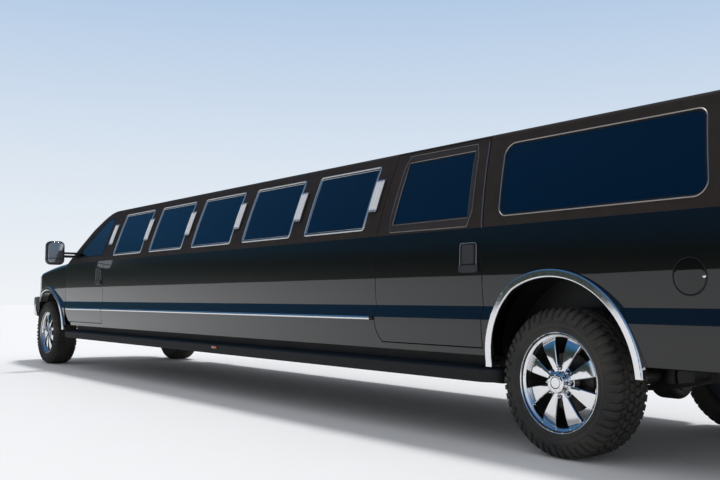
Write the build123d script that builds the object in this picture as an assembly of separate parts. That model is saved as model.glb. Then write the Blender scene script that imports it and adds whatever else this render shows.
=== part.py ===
from build123d import *
from math import cos, hypot, radians, sin, sqrt
import os

os.makedirs("parts", exist_ok=True)

# Stretch limousine on a large sport-utility body. Millimetres.
# X points forward, Y to the left, Z up. The origin is on the floor, in the middle of the length.

# Overall
BASE_WHEELBASE = 3482
STRETCH = 5080
WHEELBASE = BASE_WHEELBASE + STRETCH
FRONT_OVERHANG = 960
REAR_OVERHANG = 1316
FRONT_X = (FRONT_OVERHANG + WHEELBASE + REAR_OVERHANG) / 2
REAR_X = -FRONT_X
FRONT_AXLE_X = FRONT_X - FRONT_OVERHANG
REAR_AXLE_X = REAR_X + REAR_OVERHANG

# Wheels and tyres
TYRE_R = 400
TYRE_WIDTH = 285
TYRE_OUTER_Y = 1000
TYRE_BORE_R = 254
RIM_LIP_R = 269
TYRE_LUGS = 22
WHEEL_Y = TYRE_OUTER_Y - TYRE_WIDTH / 2
SPOKES = 8
HUB_R = 92
HUB_CAP_R = 58
DISC_R = 162
SPINDLE_R = 30
KINGPIN_Y = 790
KINGPIN_R = 15
FIT = 0.3

# Body section, from the sill up to the crown
SILL_Z = 515
SILL_Y = 985
FLANK_Z = 722
FLANK_Y = 1006
LEDGE_Z = 800
LEDGE_Y = 985
SHOULDER_Z = 1031
SHOULDER_Y = 998
BELT_Z = 1262
BELT_Y = 985
GLASS_FOOT_Z = 1300
GLASS_FOOT_Y = 978
GLASS_HEAD_Z = 1786
GLASS_HEAD_Y = 803
GLASS_BOW = 8
EAVE_Z = 1822
EAVE_Y = 791
ROOF_EDGE_Z = 1851
ROOF_EDGE_Y = 759
ROOF_Z = 1955
WALL_Y = 915
WALL_HEAD_Z = 1780
WALL_HEAD_Y = 735
ROOF_INSIDE_Z = 1895
PANEL_SPLIT_Z = 1845
ROOF_CROWN_R = (ROOF_EDGE_Y**2 + (ROOF_Z - ROOF_EDGE_Z) ** 2) / (2 * (ROOF_Z - ROOF_EDGE_Z))

# Cabin ends
DOOR_FRONT_X = FRONT_AXLE_X - 702
SCREEN_FOOT_X = FRONT_AXLE_X - 742
SCREEN_BOW = 170
SCREEN_RUN = 749
SCREEN_RISE = 498
SCREEN_THICK = 108
TAIL_X = REAR_X + 109
TAIL_BOW = 55
TAIL_RUN = 100
TAIL_RISE = 1440
TAIL_THICK = 80
TAIL_SIDE_X = TAIL_X + TAIL_BOW
TAIL_ROUND = 45
TAIL_SILL_Z = 600
LIFTGATE_FOOT_Z = 1205
FRONT_DOOR_REAR_X = FRONT_AXLE_X - 1953
REAR_DOOR_FRONT_X = REAR_AXLE_X + 1573

# Gaps and glass
GAP = 6
GLASS_INSET = 6
GLASS_THICK = 8

# Floor and frame
FLOOR_Z = 640
FLOOR_THICK = 35
FLOOR_TOP = FLOOR_Z + FLOOR_THICK
FLOOR_Y = 905
DOOR_FOOT_Z = 558
DOOR_INNER_Y = 690
RAIL_INNER_Y = 430
RAIL_OUTER_Y = 505
RAIL_Z = 470
RAIL_FRONT_X = FRONT_X - 190
RAIL_REAR_X = REAR_X + 315
FIREWALL_X = DOOR_FRONT_X - 57
FIREWALL_THICK = 40
PARTITION_X = DOOR_FRONT_X - 1427

# Windows of the stretch
WINDOWS = 5
WINDOW_FRONT_X = FRONT_DOOR_REAR_X - 219
WINDOW_PITCH = (FRONT_DOOR_REAR_X - REAR_DOOR_FRONT_X - 191) / WINDOWS
WINDOW_LENGTH = 785
WINDOW_FOOT_Z = 1300
WINDOW_HEAD_Z = 1786
WINDOW_TRIM = 20
LAMP_AHEAD = 131
LAMP_WIDTH = 92
LAMP_FOOT_Z = 1433
LAMP_HEAD_Z = 1671
LAMP_PROUD = 14


def edge_chain(start, steps):
    """Edges from start: each step is the next point, or a pair (via, end) for an arc."""
    edges = []
    here = start
    for step in steps:
        if isinstance(step[0], tuple):
            via, end = step
            edges.append(ThreePointArc(here, via, end))
        else:
            end = step
            edges.append(Line(here, end))
        here = end
    return edges


def outline(start, *steps):
    """Closed face in the XY plane, from a chain of points and arcs."""
    return make_face(edge_chain(start, steps + (start,)))


def mirrored(shape):
    """The same shape on the right-hand side."""
    return mirror(shape, about=Plane.XZ)


def both(shape):
    """A shape of the left-hand side and its mirror image, as a list."""
    return [shape, mirrored(shape)]


def block(x, y, z):
    """Box between pairs of limits along each axis."""
    centre = Pos((x[0] + x[1]) / 2, (y[0] + y[1]) / 2, (z[0] + z[1]) / 2)
    return centre * Box(x[1] - x[0], y[1] - y[0], z[1] - z[0])


def lengthwise(face, x_rear, x_front):
    """A section, drawn as Y and Z, drawn out along the car."""
    return extrude(Plane.YZ.offset(x_rear) * face, amount=x_front - x_rear)


def crosswise(face, y_low=-1500, y_high=1500):
    """A side view, drawn as X and Z, drawn out across the car."""
    solid = extrude(Plane.XZ * face, amount=(y_high - y_low) / 2, both=True)
    return Pos(0, (y_low + y_high) / 2, 0) * solid


def upright(face, z_low, z_high):
    """A plan, drawn as X and Y, drawn out upwards."""
    return extrude(Pos(0, 0, z_low) * face, amount=z_high - z_low)


def rod_y(x, z, y_low, y_high, radius):
    """Round bar across the car."""
    bar = Cylinder(radius, y_high - y_low)
    return Pos(x, (y_low + y_high) / 2, z) * Rot(90, 0, 0) * bar


def rod_x(y, z, x_low, x_high, radius):
    """Round bar along the car."""
    bar = Cylinder(radius, x_high - x_low)
    return Pos((x_low + x_high) / 2, y, z) * Rot(0, 90, 0) * bar


def rod_z(x, y, z_low, z_high, radius):
    """Upright round bar."""
    return Pos(x, y, (z_low + z_high) / 2) * Cylinder(radius, z_high - z_low)


def save(name, *shapes):
    """Write one node from all the solids of the given shapes."""
    solids = [solid for shape in shapes for solid in shape.solids()]
    piece = solids[0] if len(solids) == 1 else Compound(solids)
    export_step(piece, f"parts/{name}.step")


# The body as one closed form, and the space inside it


def body_section(grow=0):
    """Closed cross-section of the cabin, with its sides moved out by grow."""
    bow_y = (GLASS_FOOT_Y + GLASS_HEAD_Y) / 2 + GLASS_BOW
    bow_z = (GLASS_FOOT_Z + GLASS_HEAD_Z) / 2
    # columns: y, z, with the arcs as pairs (via, end)
    side = (
        ((1001 + grow, 618), (FLANK_Y + grow, FLANK_Z)),
        (LEDGE_Y + grow, LEDGE_Z),
        ((SHOULDER_Y + grow, SHOULDER_Z), (BELT_Y + grow, BELT_Z)),
        (GLASS_FOOT_Y + grow, GLASS_FOOT_Z),
        ((bow_y + grow, bow_z), (GLASS_HEAD_Y + grow, GLASS_HEAD_Z)),
        (EAVE_Y + grow, EAVE_Z),
        ((779 + grow, 1841 + grow / 2), (ROOF_EDGE_Y + grow, ROOF_EDGE_Z + grow / 2)),
    )
    left = edge_chain((SILL_Y + grow, SILL_Z), side)
    right = [mirror(edge, about=Plane.YZ) for edge in left]
    roof_edge = (ROOF_EDGE_Y + grow, ROOF_EDGE_Z + grow / 2)
    crown = ThreePointArc(roof_edge, (0, ROOF_Z + grow / 2), (-roof_edge[0], roof_edge[1]))
    sill = Line((-SILL_Y - grow, SILL_Z), (SILL_Y + grow, SILL_Z))
    return make_face(left + right + [crown, sill])


def space_section(inset=0):
    """Closed cross-section of the room inside the walls, open below the floor."""
    foot_z = 300
    wall_y = WALL_Y - inset
    head = (WALL_HEAD_Y - inset, WALL_HEAD_Z - inset)
    return outline(
        (wall_y, foot_z),
        (wall_y, BELT_Z),
        head,
        ((0, ROOF_INSIDE_Z - inset), (-head[0], head[1])),
        (-wall_y, BELT_Z),
        (-wall_y, foot_z),
    )


def behind_screen(back=0):
    """All that lies above the belt and behind the windscreen's surface, moved back along X."""
    reach = 1300
    radius = (BELT_Y**2 + SCREEN_BOW**2) / (2 * SCREEN_BOW)
    nose = SCREEN_FOOT_X + SCREEN_BOW - back
    corner = nose - radius + sqrt(radius**2 - reach**2)
    plan = outline(
        (REAR_X, -reach),
        (corner, -reach),
        ((nose, 0), (corner, reach)),
        (REAR_X, reach),
    )
    slope = hypot(SCREEN_RUN, SCREEN_RISE)
    length = slope * (2100 - BELT_Z) / SCREEN_RISE
    foot = Pos(0, 0, BELT_Z) * plan
    return extrude(foot, amount=length, dir=(-SCREEN_RUN / slope, 0, SCREEN_RISE / slope))


def ahead_of_tail(forward=0):
    """All that lies ahead of the tail's surface, moved forward along X."""
    reach = 1300
    radius = (BELT_Y**2 + TAIL_BOW**2) / (2 * TAIL_BOW)
    tail = TAIL_X + forward
    corner = tail + radius - sqrt(radius**2 - reach**2)
    plan = outline(
        (FRONT_X, -reach),
        (corner, -reach),
        ((tail, 0), (corner, reach)),
        (FRONT_X, reach),
    )
    slope = hypot(TAIL_RUN, TAIL_RISE)
    foot_z = 300
    length = slope * (2100 - foot_z) / TAIL_RISE
    foot = Pos(0, 0, foot_z) * plan
    return extrude(foot, amount=length, dir=(TAIL_RUN / slope, 0, TAIL_RISE / slope))


def crowned(profile, crown_r, top_z):
    """A side view swept round an axis far below, so that its top is crowned."""
    axis = Axis((0, 0, top_z - crown_r), (1, 0, 0))
    face = Plane.XZ * profile
    turn = 20
    return revolve(face.rotate(axis, -turn), axis, 2 * turn)


def roof_front():
    """What is cut away for the roof to curve down into the windscreen."""
    x = SCREEN_FOOT_X
    view = outline(
        (x - 1197, ROOF_Z + 1),
        ((x - 960, ROOF_Z - 14), (x - 740, ROOF_Z - 78)),
        (x - 500, ROOF_Z - 180),
        (x - 300, ROOF_Z + 100),
        (x - 1197, ROOF_Z + 100),
    )
    return crowned(view, ROOF_CROWN_R, ROOF_Z)


def cabin_form():
    """Outside form of the cabin, from the tail to the windscreen and the front doors."""
    form = lengthwise(body_section(), REAR_X, FRONT_X) & ahead_of_tail()
    below = block((REAR_X, DOOR_FRONT_X), (-1100, 1100), (400, BELT_Z))
    form = (form & below) + (form & behind_screen()) - roof_front()
    tail_edges = []
    for edge in form.edges():
        middle = edge.center()
        if middle.X < TAIL_SIDE_X + 205 and middle.Z > SILL_Z + 5 and edge.length > 30:
            tail_edges.append(edge)
    return fillet(tail_edges, TAIL_ROUND)


def cabin_space():
    """Room inside the cabin walls."""
    space = lengthwise(space_section(), REAR_X, FRONT_X) & ahead_of_tail(TAIL_THICK)
    below = block((REAR_X, DOOR_FRONT_X + 50), (-1100, 1100), (200, BELT_Z))
    return (space & below) + (space & behind_screen(SCREEN_THICK))


# Side-view outlines. Each is the line of the gap; the panel and its opening lie half a gap each side.


def front_door_outline():
    rear_x = FRONT_DOOR_REAR_X
    return outline(
        (rear_x, DOOR_FOOT_Z),
        (DOOR_FRONT_X - 147, DOOR_FOOT_Z),
        ((DOOR_FRONT_X - 64, 640), (DOOR_FRONT_X, 873)),
        (DOOR_FRONT_X, 1200),
        (DOOR_FRONT_X - 97, 1256),
        (DOOR_FRONT_X - 766, 1708),
        ((DOOR_FRONT_X - 887, 1783), (DOOR_FRONT_X - 1057, 1828)),
        (rear_x, 1832),
    )


def rear_door_outline():
    front_x = REAR_DOOR_FRONT_X
    rear_x = REAR_AXLE_X + 552
    return outline(
        (front_x, 1834),
        (front_x, 720),
        ((front_x - 22, 625), (front_x - 76, DOOR_FOOT_Z)),
        (rear_x, DOOR_FOOT_Z),
        (rear_x, BELT_Z),
        (rear_x + 125, 1834),
    )


def front_door_window():
    rear_x = FRONT_AXLE_X - 1859
    sail_x = DOOR_FRONT_X - 400
    return outline(
        (rear_x, WINDOW_FOOT_Z + WINDOW_TRIM),
        (sail_x, WINDOW_FOOT_Z + WINDOW_TRIM),
        (sail_x, 1401),
        (DOOR_FRONT_X - 794, 1667),
        ((DOOR_FRONT_X - 872, 1718), (DOOR_FRONT_X - 967, WINDOW_HEAD_Z - WINDOW_TRIM)),
        (rear_x, WINDOW_HEAD_Z - WINDOW_TRIM),
    )


def rear_door_window():
    return outline(
        (REAR_AXLE_X + 1448 - WINDOW_TRIM, WINDOW_FOOT_Z + WINDOW_TRIM),
        (REAR_AXLE_X + 1448 - WINDOW_TRIM, WINDOW_HEAD_Z - WINDOW_TRIM),
        (REAR_AXLE_X + 765 + WINDOW_TRIM, WINDOW_HEAD_Z - WINDOW_TRIM),
        (REAR_AXLE_X + 674 + WINDOW_TRIM, WINDOW_FOOT_Z + WINDOW_TRIM),
    )


def quarter_window():
    shape = outline(
        (REAR_AXLE_X + 440, WINDOW_FOOT_Z + WINDOW_TRIM),
        (REAR_AXLE_X + 528, WINDOW_HEAD_Z - WINDOW_TRIM),
        (REAR_AXLE_X - 800, WINDOW_HEAD_Z - WINDOW_TRIM),
        (REAR_AXLE_X - 900, WINDOW_FOOT_Z + WINDOW_TRIM),
    )
    return fillet(shape.vertices(), 65)


def stretch_window(index):
    front_x = WINDOW_FRONT_X - index * WINDOW_PITCH - WINDOW_TRIM
    rear_x = front_x - WINDOW_LENGTH + 2 * WINDOW_TRIM
    shape = outline(
        (front_x, WINDOW_FOOT_Z + WINDOW_TRIM),
        (front_x, WINDOW_HEAD_Z - WINDOW_TRIM),
        (rear_x, WINDOW_HEAD_Z - WINDOW_TRIM),
        (rear_x, WINDOW_FOOT_Z + WINDOW_TRIM),
    )
    return fillet(shape.vertices(), 18)


def opera_lamp(index):
    middle_x = WINDOW_FRONT_X + LAMP_AHEAD - index * WINDOW_PITCH
    middle_z = (LAMP_FOOT_Z + LAMP_HEAD_Z) / 2
    return Pos(middle_x, middle_z) * RectangleRounded(LAMP_WIDTH, LAMP_HEAD_Z - LAMP_FOOT_Z, 12)


def rear_arch():
    """Opening over the rear wheel, fuller at the front of its top."""
    x = REAR_AXLE_X
    return outline(
        (x - 512, 300),
        (x - 512, 450),
        ((x - 410, 728), (x - 160, 922)),
        ((x + 60, 957), (x + 296, 892)),
        ((x + 429, 728), (x + 462, 480)),
        (x + 462, 300),
    )


FRONT_ARCH_AHEAD = 500
TRIM_WIDTH = 47


def front_arch():
    """Opening over the front wheel, drawn out to the rear."""
    x = FRONT_AXLE_X
    return outline(
        (x - 650, 300),
        (x - 650, 480),
        ((x - 540, 705), (x - 330, 852)),
        ((x - 40, 940), (x + 290, 836)),
        ((x + FRONT_ARCH_AHEAD - 70, 700), (x + FRONT_ARCH_AHEAD, 480)),
        (x + FRONT_ARCH_AHEAD, 300),
    )


def tail_opening():
    """Outline of the liftgate and the lower doors, seen from behind, as Y and Z."""
    return outline(
        (-860, TAIL_SILL_Z),
        (-860, BELT_Z),
        (-690, PANEL_SPLIT_Z - GAP / 2),
        (690, PANEL_SPLIT_Z - GAP / 2),
        (860, BELT_Z),
        (860, TAIL_SILL_Z),
    )


# The nose

HOOD_CROWN_R = 6750
HOOD_TOP_Z = 1336
HOOD_SKIN = 30
NOSE_WALL = 90
NOSE_BREAK_X = FRONT_AXLE_X + FRONT_ARCH_AHEAD + TRIM_WIDTH + 3
BUMPER_TOP_Z = 860
BUMPER_FOOT_Z = 600
GRILLE_Y = 520
GRILLE_HEAD_Z = 1117
HOOD_REAR_X = DOOR_FRONT_X + 203
COWL_Y = 850
LAMP_Y = (532, 890)
LAMP_Z = (905, 1082)
GRILLE_Z = (905, 1078)
FENDER_ROUND = 60


def nose_plan(inset=0):
    """Plan of the body, with the front end narrowing from the doors to the grille."""
    edge_y = 1030
    shape = outline(
        (REAR_X, edge_y),
        (FRONT_AXLE_X - 200, edge_y),
        ((FRONT_AXLE_X + 360, 972), (FRONT_AXLE_X + 730, 850)),
        ((FRONT_AXLE_X + 790, 800), (FRONT_AXLE_X + 820, 700)),
        ((FRONT_AXLE_X + 871, 0), (FRONT_AXLE_X + 820, -700)),
        ((FRONT_AXLE_X + 790, -800), (FRONT_AXLE_X + 730, -850)),
        ((FRONT_AXLE_X + 360, -972), (FRONT_AXLE_X - 200, -edge_y)),
        (REAR_X, -edge_y),
    )
    return offset(shape, -inset) if inset else shape


def hood_profile(drop=0):
    """Side view of the front end: the hood's line and its rounded lip."""
    x = FRONT_AXLE_X
    return outline(
        (DOOR_FRONT_X - 200, 200),
        (DOOR_FRONT_X - 200, HOOD_TOP_Z + 12 - drop),
        ((x - 59, 1288 - drop), (x + 591, 1190 - drop)),
        ((x + 780, 1148 - drop), (x + 860, 1040 - drop)),
        (x + 900, 900 - drop),
        (x + 900, 200),
    )


def body_side_tall():
    """Cross-section of the front end, with its sides carried on past the belt."""
    reach = (BELT_Z - LEDGE_Z) / 2
    bow = SHOULDER_Y - BELT_Y
    radius = (reach**2 + bow**2) / (2 * bow)
    high_z = 1330
    high_y = SHOULDER_Y - radius + sqrt(radius**2 - (high_z - SHOULDER_Z) ** 2)
    side = (
        ((1001, 618), (FLANK_Y, FLANK_Z)),
        (LEDGE_Y, LEDGE_Z),
        ((SHOULDER_Y, SHOULDER_Z), (high_y, high_z)),
        (high_y, 1500),
    )
    left = edge_chain((SILL_Y, SILL_Z), side)
    right = [mirror(edge, about=Plane.YZ) for edge in left]
    top = Line((high_y, 1500), (-high_y, 1500))
    sill = Line((-SILL_Y, SILL_Z), (SILL_Y, SILL_Z))
    return make_face(left + right + [top, sill])


def nose_form():
    """Outside form of the front end, ahead of the doors, its crests rounded."""
    form = lengthwise(body_side_tall(), DOOR_FRONT_X, FRONT_X) & upright(nose_plan(), 400, 1500)
    over_bumper = block((NOSE_BREAK_X, FRONT_X + 10), (-1100, 1100), (300, BUMPER_TOP_Z + GAP))
    form = (form & crowned(hood_profile(), HOOD_CROWN_R, HOOD_TOP_Z)) - over_bumper
    crests = []
    for edge in form.edges():
        middle = edge.center()
        if abs(middle.Y) > 840 and middle.Z > 1090 and edge.length > 300:
            crests.append(edge)
    return fillet(crests, FENDER_ROUND)


def nose_space():
    """Room under the hood."""
    under_hood = crowned(hood_profile(HOOD_SKIN), HOOD_CROWN_R, HOOD_TOP_Z)
    room = upright(nose_plan(NOSE_WALL), 300, 1500) & under_hood
    room = room + (upright(nose_plan(NOSE_WALL), 300, BUMPER_TOP_Z + 60))
    return room & block((DOOR_FRONT_X - 10, FRONT_X), (-FLOOR_Y, FLOOR_Y), (300, 1500))


def hood_plan():
    front_x = FRONT_AXLE_X + 1000
    return outline(
        (HOOD_REAR_X, COWL_Y),
        (front_x, 730),
        (front_x, -730),
        (HOOD_REAR_X, -COWL_Y),
    )


# Wheel wells

REAR_LINER_R = 590
FRONT_LINER_R = 640
LINER_THICK = 6
REAR_WELL_Y = 690
FRONT_WELL_Y = 570


def wheel_liner(axle_x, radius, inner_y, outer_y, walled):
    """Half drum over a wheel, with an inner wall where nothing passes through it."""
    shell = rod_y(axle_x, TYRE_R, inner_y, outer_y, radius + LINER_THICK)
    room_y = inner_y + LINER_THICK if walled else inner_y - 1
    shell = shell - rod_y(axle_x, TYRE_R, room_y, outer_y + 1, radius)
    return shell & block((axle_x - 800, axle_x + 800), (0, 1200), (SILL_Z + 20, 1200))


TRIM_PROUD = 12
TRIM_OUT_Y = 1016
TRIM_FOOT_Z = 455


def arch_trim(arch, body):
    """Bright rounded band round a wheel opening, proud of the body it is laid on."""
    band = crosswise(offset(arch, TRIM_WIDTH), 850, TRIM_OUT_Y) - crosswise(arch, 700, 1300)
    outer_face = band.faces().sort_by(Axis.Y)[-1]
    band = fillet(outer_face.edges(), 9)
    band = band & block((REAR_X, FRONT_X), (0, 1200), (TRIM_FOOT_Z, 1100))
    band = band & upright(nose_plan(-TRIM_PROUD), 300, 1200)
    core = block((REAR_X - 50, FRONT_X), (0, LEDGE_Y - 1), (300, 1200)) & upright(nose_plan(25), 300, 1200)
    return band - core - body


# Panels

form = cabin_form()
space = cabin_space()
wall = form - space
nose_outside = nose_form()
nose = nose_outside - nose_space()

front_door_face = front_door_outline()
rear_door_face = rear_door_outline()
front_door_hole = crosswise(offset(front_door_face, GAP / 2), DOOR_INNER_Y - GAP, 1200)
rear_door_hole = crosswise(offset(rear_door_face, GAP / 2), DOOR_INNER_Y - GAP, 1200)
rear_arch_hole = crosswise(rear_arch(), 600, 1200)
front_arch_hole = crosswise(front_arch(), 600, 1200)
tail_hole = lengthwise(offset(tail_opening(), GAP / 2), REAR_X, TAIL_SIDE_X + 250)

HINGE_DEPTH = 45
HINGE_HEIGHT = 70


def hinge_leaf(gap_x, z, skin_y):
    """Leaf of a hinge, fixed to the pillar and standing in the door's front gap."""
    half = GAP / 2
    x = (gap_x - half + FIT, gap_x + half)
    y = (skin_y - 25 - HINGE_DEPTH, skin_y - 25)
    return block(x, y, (z - HINGE_HEIGHT / 2, z + HINGE_HEIGHT / 2))


# columns: height of each hinge leaf
HINGE_HEIGHTS = (930, 1140)

screen_view = outline(
    (COWL_Y, BELT_Z - 2),
    (700, 1790),
    ((0, 1835), (-700, 1790)),
    (-COWL_Y, BELT_Z - 2),
)
screen_hole = lengthwise(screen_view, 2600, FRONT_X)
header_y = DOOR_INNER_Y - GAP
header_zone = block((2600, FRONT_X), (-header_y, header_y), (1760, PANEL_SPLIT_Z))
tail_lamp_zone = block((REAR_X, TAIL_SIDE_X + 75), (890, 1100), (880, 1200))

# Body sides: the wall below the roof, without the doors, windows, wheel wells and tail
FENDER_TIP_X = DOOR_FRONT_X - 200
fender_zone = block((FENDER_TIP_X, DOOR_FRONT_X), (-1100, 1100), (SILL_Z - 5, 1190))
side = wall & block((REAR_X, FRONT_X), (300, 1100), (400, PANEL_SPLIT_Z))
side = side - fender_zone - front_door_hole - rear_door_hole - rear_arch_hole - tail_hole
side = side - screen_hole - header_zone
for index in range(WINDOWS):
    side = side - crosswise(stretch_window(index), 500, 1200)
sill_zone = block((REAR_X, TAIL_SIDE_X + TAIL_THICK + 60), (0, 860), (SILL_Z, TAIL_SILL_Z - GAP / 2))
side = side - crosswise(quarter_window(), 500, 1200) - tail_lamp_zone - sill_zone
for height in HINGE_HEIGHTS:
    side = side + hinge_leaf(REAR_DOOR_FRONT_X, height, LEDGE_Y)
for height in (720, 1080):
    z = (height - HINGE_HEIGHT / 2, height + HINGE_HEIGHT / 2)
    side = side + block((TAIL_SIDE_X + 58, TAIL_SIDE_X + 88), (857 + FIT, 864), z)
FLAP_X = REAR_AXLE_X - 810
FLAP_Z = 948
FLAP_R = 87
flap_seam = rod_y(FLAP_X, FLAP_Z, 989, 1100, FLAP_R + 1.5) - rod_y(FLAP_X, FLAP_Z, 980, 1110, FLAP_R - 1.5)
save("body_sides", side - flap_seam, mirrored(side))

roof_zone = block((REAR_X, FRONT_X), (-1100, 1100), (PANEL_SPLIT_Z, 2100))
roof = (wall & (roof_zone + header_zone)) - screen_hole
for hinge_y in (-460, 460):
    y = (hinge_y - HINGE_HEIGHT / 2, hinge_y + HINGE_HEIGHT / 2)
    roof = roof + block((TAIL_X + 120, TAIL_X + 165), y, (PANEL_SPLIT_Z - GAP + FIT, PANEL_SPLIT_Z + 1))
save("roof_panel", roof)

# Front fenders: the nose outside the hood and the grille, with the tip behind the wheel
hood_gap = upright(offset(hood_plan(), GAP / 2), 1000, 1500)
hood_gap = hood_gap & block((HOOD_REAR_X - GAP, FRONT_X), (-1000, 1000), (GRILLE_HEAD_Z + GAP / 2 - 3, 1500))
fender = nose & block((DOOR_FRONT_X - 1, FRONT_X), (GRILLE_Y, 1100), (400, 1500))
cowl_zone = block((DOOR_FRONT_X - 1, HOOD_REAR_X), (0, COWL_Y), (400, 1500))
fender = fender - hood_gap - cowl_zone
fender = fender + (wall & fender_zone & block((0, FRONT_X), (0, 1100), (0, 1500)))
fender = fender - front_door_hole - front_arch_hole
fender = fender - block((NOSE_BREAK_X, FRONT_X), LAMP_Y, LAMP_Z)
fender = fender - form
for height in HINGE_HEIGHTS:
    fender = fender + hinge_leaf(DOOR_FRONT_X, height, LEDGE_Y)
save("front_fenders", *both(fender))

# Hood
hood_cut = upright(offset(hood_plan(), -GAP / 2), 1000, 1500)
hood = nose & hood_cut & block((HOOD_REAR_X, FRONT_X), (-1000, 1000), (GRILLE_HEAD_Z + GAP, 1500))
save("hood", hood)

# Grille: a frame with bars, and the lamps beside it
opening = block((FRONT_AXLE_X + 600, FRONT_X), (-GRILLE_Y + 40, GRILLE_Y - 40), GRILLE_Z)
grille = nose & block((NOSE_BREAK_X, FRONT_X), (-GRILLE_Y, GRILLE_Y), (BUMPER_TOP_Z, GRILLE_HEAD_Z))
bars = grille & opening
bars = bars & block((FRONT_AXLE_X + 600, FRONT_AXLE_X + 845), (-GRILLE_Y, GRILLE_Y), (800, 1200))
grille = grille - opening
GRILLE_BARS = 4
bar_pitch = (GRILLE_Z[1] - GRILLE_Z[0]) / (GRILLE_BARS + 1)
for index in range(GRILLE_BARS):
    height = GRILLE_Z[0] + bar_pitch * (index + 1)
    grille = grille + (bars & block((0, FRONT_X), (-600, 600), (height - 9, height + 9)))
save("grille", grille)
lamp_width = (LAMP_Y[0] + FIT, LAMP_Y[1] - FIT)
lamp_height = (LAMP_Z[0] + FIT, LAMP_Z[1] - FIT)
headlamp = nose & block((NOSE_BREAK_X, FRONT_X), lamp_width, lamp_height)
save("headlamps", *both(headlamp))

# Wheel liners
front_liner = wheel_liner(FRONT_AXLE_X, FRONT_LINER_R, FRONT_WELL_Y, FLOOR_Y, False) & nose_space()
rear_liner = wheel_liner(REAR_AXLE_X, REAR_LINER_R, REAR_WELL_Y, WALL_Y, True)
save("wheel_liners", *both(front_liner), *both(rear_liner))

# Floor, firewall, cowl and rear sill
FLOOR_REAR_X = TAIL_SIDE_X + TAIL_THICK + 45
floor_half = outline(
    (0, FLOOR_TOP),
    (FLOOR_Y, FLOOR_TOP),
    (FLOOR_Y, DOOR_FOOT_Z - GAP / 2),
    (WALL_Y, DOOR_FOOT_Z - GAP / 2),
    (WALL_Y, SILL_Z),
    (FLOOR_Y - 25, SILL_Z),
    (FLOOR_Y - 25, FLOOR_Z),
    (0, FLOOR_Z),
)
floor = lengthwise(floor_half, FLOOR_REAR_X, FIREWALL_X + FIREWALL_THICK)
floor = floor - rod_y(REAR_AXLE_X, TYRE_R, REAR_WELL_Y, 1100, REAR_LINER_R + LINER_THICK + FIT)
firewall = block((FIREWALL_X, FIREWALL_X + FIREWALL_THICK), (0, FLOOR_Y), (FLOOR_Z, BELT_Z))
shelf = block((FIREWALL_X, DOOR_FRONT_X), (0, FLOOR_Y), (BELT_Z - 35, BELT_Z))
cowl = nose & block((DOOR_FRONT_X, HOOD_REAR_X - GAP / 2), (0, COWL_Y), (1150, 1500))
cowl_riser = block((DOOR_FRONT_X, DOOR_FRONT_X + 12), (0, COWL_Y), (BELT_Z - 35, 1500))
cowl = cowl + (nose_outside & cowl_riser)
hinge_x = (HOOD_REAR_X - 10, HOOD_REAR_X + GAP / 2 - FIT)
cowl = cowl + block(hinge_x, (600, 600 + HINGE_HEIGHT), (HOOD_TOP_Z - 64, HOOD_TOP_Z - 50))
cowl = cowl - form
front_floor = floor + firewall + shelf + cowl
front_floor = front_floor - rod_y(FRONT_AXLE_X, TYRE_R, FRONT_WELL_Y, 1100, FRONT_LINER_R + LINER_THICK + FIT)
rear_sill = wall & sill_zone
sill_deck = block((TAIL_SIDE_X + 20, FLOOR_REAR_X + 20), (0, 850), (SILL_Z, TAIL_SILL_Z - GAP / 2))
sill_riser = block((FLOOR_REAR_X, FLOOR_REAR_X + 20), (0, 850), (SILL_Z, FLOOR_TOP))
front_floor = front_floor + rear_sill + sill_deck + sill_riser
floor_pan = front_floor + mirrored(front_floor)
save("floor_pan", floor_pan)

# Glass
glass_skin = lengthwise(body_section(-GLASS_INSET), REAR_X, FRONT_X)
glass_skin = glass_skin - lengthwise(body_section(-GLASS_INSET - GLASS_THICK), REAR_X, FRONT_X)


def side_glass(face):
    """Pane on the left-hand side that fills a window's opening."""
    return glass_skin & crosswise(offset(face, -FIT), 500, 1200)


panes = [side_glass(stretch_window(index)) for index in range(WINDOWS)]
panes.append(side_glass(quarter_window()))
# The screen is set in square to its slope, so along the car it moves back by this much more
SCREEN_SLANT = hypot(SCREEN_RUN, SCREEN_RISE) / SCREEN_RISE
screen_outer = behind_screen(1.5 * GLASS_INSET * SCREEN_SLANT)
screen_inner = behind_screen(1.5 * (GLASS_INSET + GLASS_THICK) * SCREEN_SLANT)
screen = (screen_outer - screen_inner) & screen_hole & form
panes_both = [pane for shape in panes for pane in both(shape)]
save("fixed_glass", screen, *panes_both)

# Opera lights
opera_skin = lengthwise(body_section(LAMP_PROUD), REAR_X, FRONT_X)
opera_skin = opera_skin - lengthwise(body_section(), REAR_X, FRONT_X)
opera_lamps = []
for index in range(WINDOWS + 1):
    opera_lamps.extend(both(opera_skin & crosswise(opera_lamp(index), 500, 1200)))
save("opera_lights", *opera_lamps)

# Arch trims
rear_trim = arch_trim(rear_arch(), form)
front_trim = arch_trim(front_arch(), nose_outside + form)
save("arch_trims", *both(rear_trim), *both(front_trim))

# Doors
front_door = wall & crosswise(offset(front_door_face, -GAP / 2), DOOR_INNER_Y, 1200)
front_door = front_door - crosswise(front_door_window(), 500, 1200)
rear_door = wall & crosswise(offset(rear_door_face, -GAP / 2), DOOR_INNER_Y, 1200)
rear_door = rear_door - crosswise(rear_door_window(), 500, 1200)
DOORS = (
    ("front_door", front_door, side_glass(front_door_window())),
    ("rear_door", rear_door, side_glass(rear_door_window())),
)
for name, door, pane in DOORS:
    save(name + "_left", door)
    save(name + "_right", mirrored(door))
    save(name + "_glass_left", pane)
    save(name + "_glass_right", mirrored(pane))

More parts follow.
